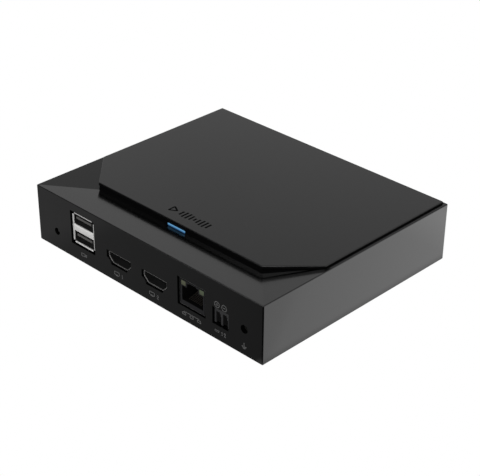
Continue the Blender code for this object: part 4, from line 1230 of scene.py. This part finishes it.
def make_backdrop(stage):
    """World light: bright behind the object; in front, stronger near the floor than above."""
    world = bpy.data.worlds.new("studio")
    bpy.context.scene.world = world
    world.use_nodes = True
    tree = world.node_tree
    background = tree.nodes["Background"]
    coordinates = tree.nodes.new("ShaderNodeTexCoord")
    direction = tree.nodes.new("ShaderNodeSeparateXYZ")
    tree.links.new(coordinates.outputs["Generated"], direction.inputs[0])
    front = remap(tree, direction.outputs["Z"], 0.28, 0.45, 0.22, 0.05)
    rear = remap(tree, direction.outputs["Y"], -0.25, 0.35, front, stage.sky)
    rear = maths(tree, "ADD", rear, remap(tree, direction.outputs["Y"], 0.62, 0.72, 0.0, 0.10))
    across = remap(tree, direction.outputs["X"], -0.75, -0.50, 1.15, 0.88)
    strength = maths(tree, "MULTIPLY", rear, across)
    tree.links.new(strength, background.inputs["Strength"])
    background.inputs["Color"].default_value = (1.0, 1.0, 1.0, 1.0)


# ------------------------------------------------------------------ operators
class MEDIABOX_OT_finishes(Operator):
    """Make every finish and dress the frame's own pieces"""
    bl_idname = "mediabox.finishes"
    bl_label = "Finishes"

    def execute(self, context):
        build_finishes(context.scene.mediabox_case)
        dress_frame()
        return {"FINISHED"}


class MEDIABOX_OT_light_bar(Operator):
    """Build the lens of the light bar"""
    bl_idname = "mediabox.light_bar"
    bl_label = "Light bar"

    def execute(self, context):
        make_light_lens()
        return {"FINISHED"}


class MEDIABOX_OT_data_sockets(Operator):
    """Build the stacked data sockets"""
    bl_idname = "mediabox.data_sockets"
    bl_label = "Data sockets"

    def execute(self, context):
        make_data_shell(context.scene.mediabox_sockets)
        make_data_contacts()
        return {"FINISHED"}


class MEDIABOX_OT_video_sockets(Operator):
    """Build both video sockets"""
    bl_idname = "mediabox.video_sockets"
    bl_label = "Video sockets"

    def execute(self, context):
        for number in (1, 2):
            make_video_socket(number)
        return {"FINISHED"}


class MEDIABOX_OT_network_jack(Operator):
    """Build the network jack's screen and contact wires"""
    bl_idname = "mediabox.network_jack"
    bl_label = "Network jack"

    def execute(self, context):
        make_network_screen(context.scene.mediabox_sockets)
        make_network_contacts(context.scene.mediabox_sockets)
        return {"FINISHED"}


class MEDIABOX_OT_earth_insert(Operator):
    """Build the threaded earth insert"""
    bl_idname = "mediabox.earth_insert"
    bl_label = "Earth insert"

    def execute(self, context):
        make_earth_insert()
        return {"FINISHED"}


class MEDIABOX_OT_marks(Operator):
    """Print the pictograms and the generic mark"""
    bl_idname = "mediabox.marks"
    bl_label = "Printed marks"

    def execute(self, context):
        make_port_marks()
        make_top_mark()
        return {"FINISHED"}


class MEDIABOX_OT_underside(Operator):
    """Build feet, screws and label print"""
    bl_idname = "mediabox.underside"
    bl_label = "Underside"

    def execute(self, context):
        make_feet()
        make_screws()
        make_label_print()
        return {"FINISHED"}


class MEDIABOX_OT_stage(Operator):
    """Set the camera, floor and lights"""
    bl_idname = "mediabox.stage"
    bl_label = "Stage"

    def execute(self, context):
        stage = context.scene.mediabox_stage
        make_camera(stage)
        make_floor()
        make_backdrop(stage)
        make_light("front_soft", FRONT_LIGHT_PLACE, FRONT_LIGHT_TARGET, FRONT_LIGHT_SIZE,
                   FRONT_LIGHT_POWER)
        scene = context.scene
        scene.view_settings.view_transform = "Standard"
        scene.view_settings.look = "None"
        return {"FINISHED"}


STEPS = (MEDIABOX_OT_finishes, MEDIABOX_OT_light_bar, MEDIABOX_OT_data_sockets,
         MEDIABOX_OT_video_sockets, MEDIABOX_OT_network_jack, MEDIABOX_OT_earth_insert,
         MEDIABOX_OT_marks, MEDIABOX_OT_underside, MEDIABOX_OT_stage)


class MEDIABOX_PT_panel(Panel):
    """Sidebar panel with the settings and one button for each step"""
    bl_idname = "MEDIABOX_PT_panel"
    bl_label = "Media box"
    bl_space_type = "VIEW_3D"
    bl_region_type = "UI"
    bl_category = "Media box"

    def draw(self, context):
        scene = context.scene
        for group in (scene.mediabox_case, scene.mediabox_sockets, scene.mediabox_stage):
            column = self.layout.box().column()
            for label in group.bl_rna.properties.keys():
                if label not in ("rna_type", "name"):
                    column.prop(group, label)
        for step in STEPS:
            self.layout.operator(step.bl_idname)


CLASSES = (CaseSettings, SocketSettings, StageSettings, *STEPS, MEDIABOX_PT_panel)


def register():
    for item in CLASSES:
        bpy.utils.register_class(item)
    bpy.types.Scene.mediabox_case = PointerProperty(type=CaseSettings)
    bpy.types.Scene.mediabox_sockets = PointerProperty(type=SocketSettings)
    bpy.types.Scene.mediabox_stage = PointerProperty(type=StageSettings)


def unregister():
    del bpy.types.Scene.mediabox_stage
    del bpy.types.Scene.mediabox_sockets
    del bpy.types.Scene.mediabox_case
    for item in reversed(CLASSES):
        bpy.utils.unregister_class(item)


def main():
    """Registers the add-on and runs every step."""
    register()
    for step in STEPS:
        area, action = step.bl_idname.split(".")
        getattr(getattr(bpy.ops, area), action)()


if __name__ == "__main__":
    main()
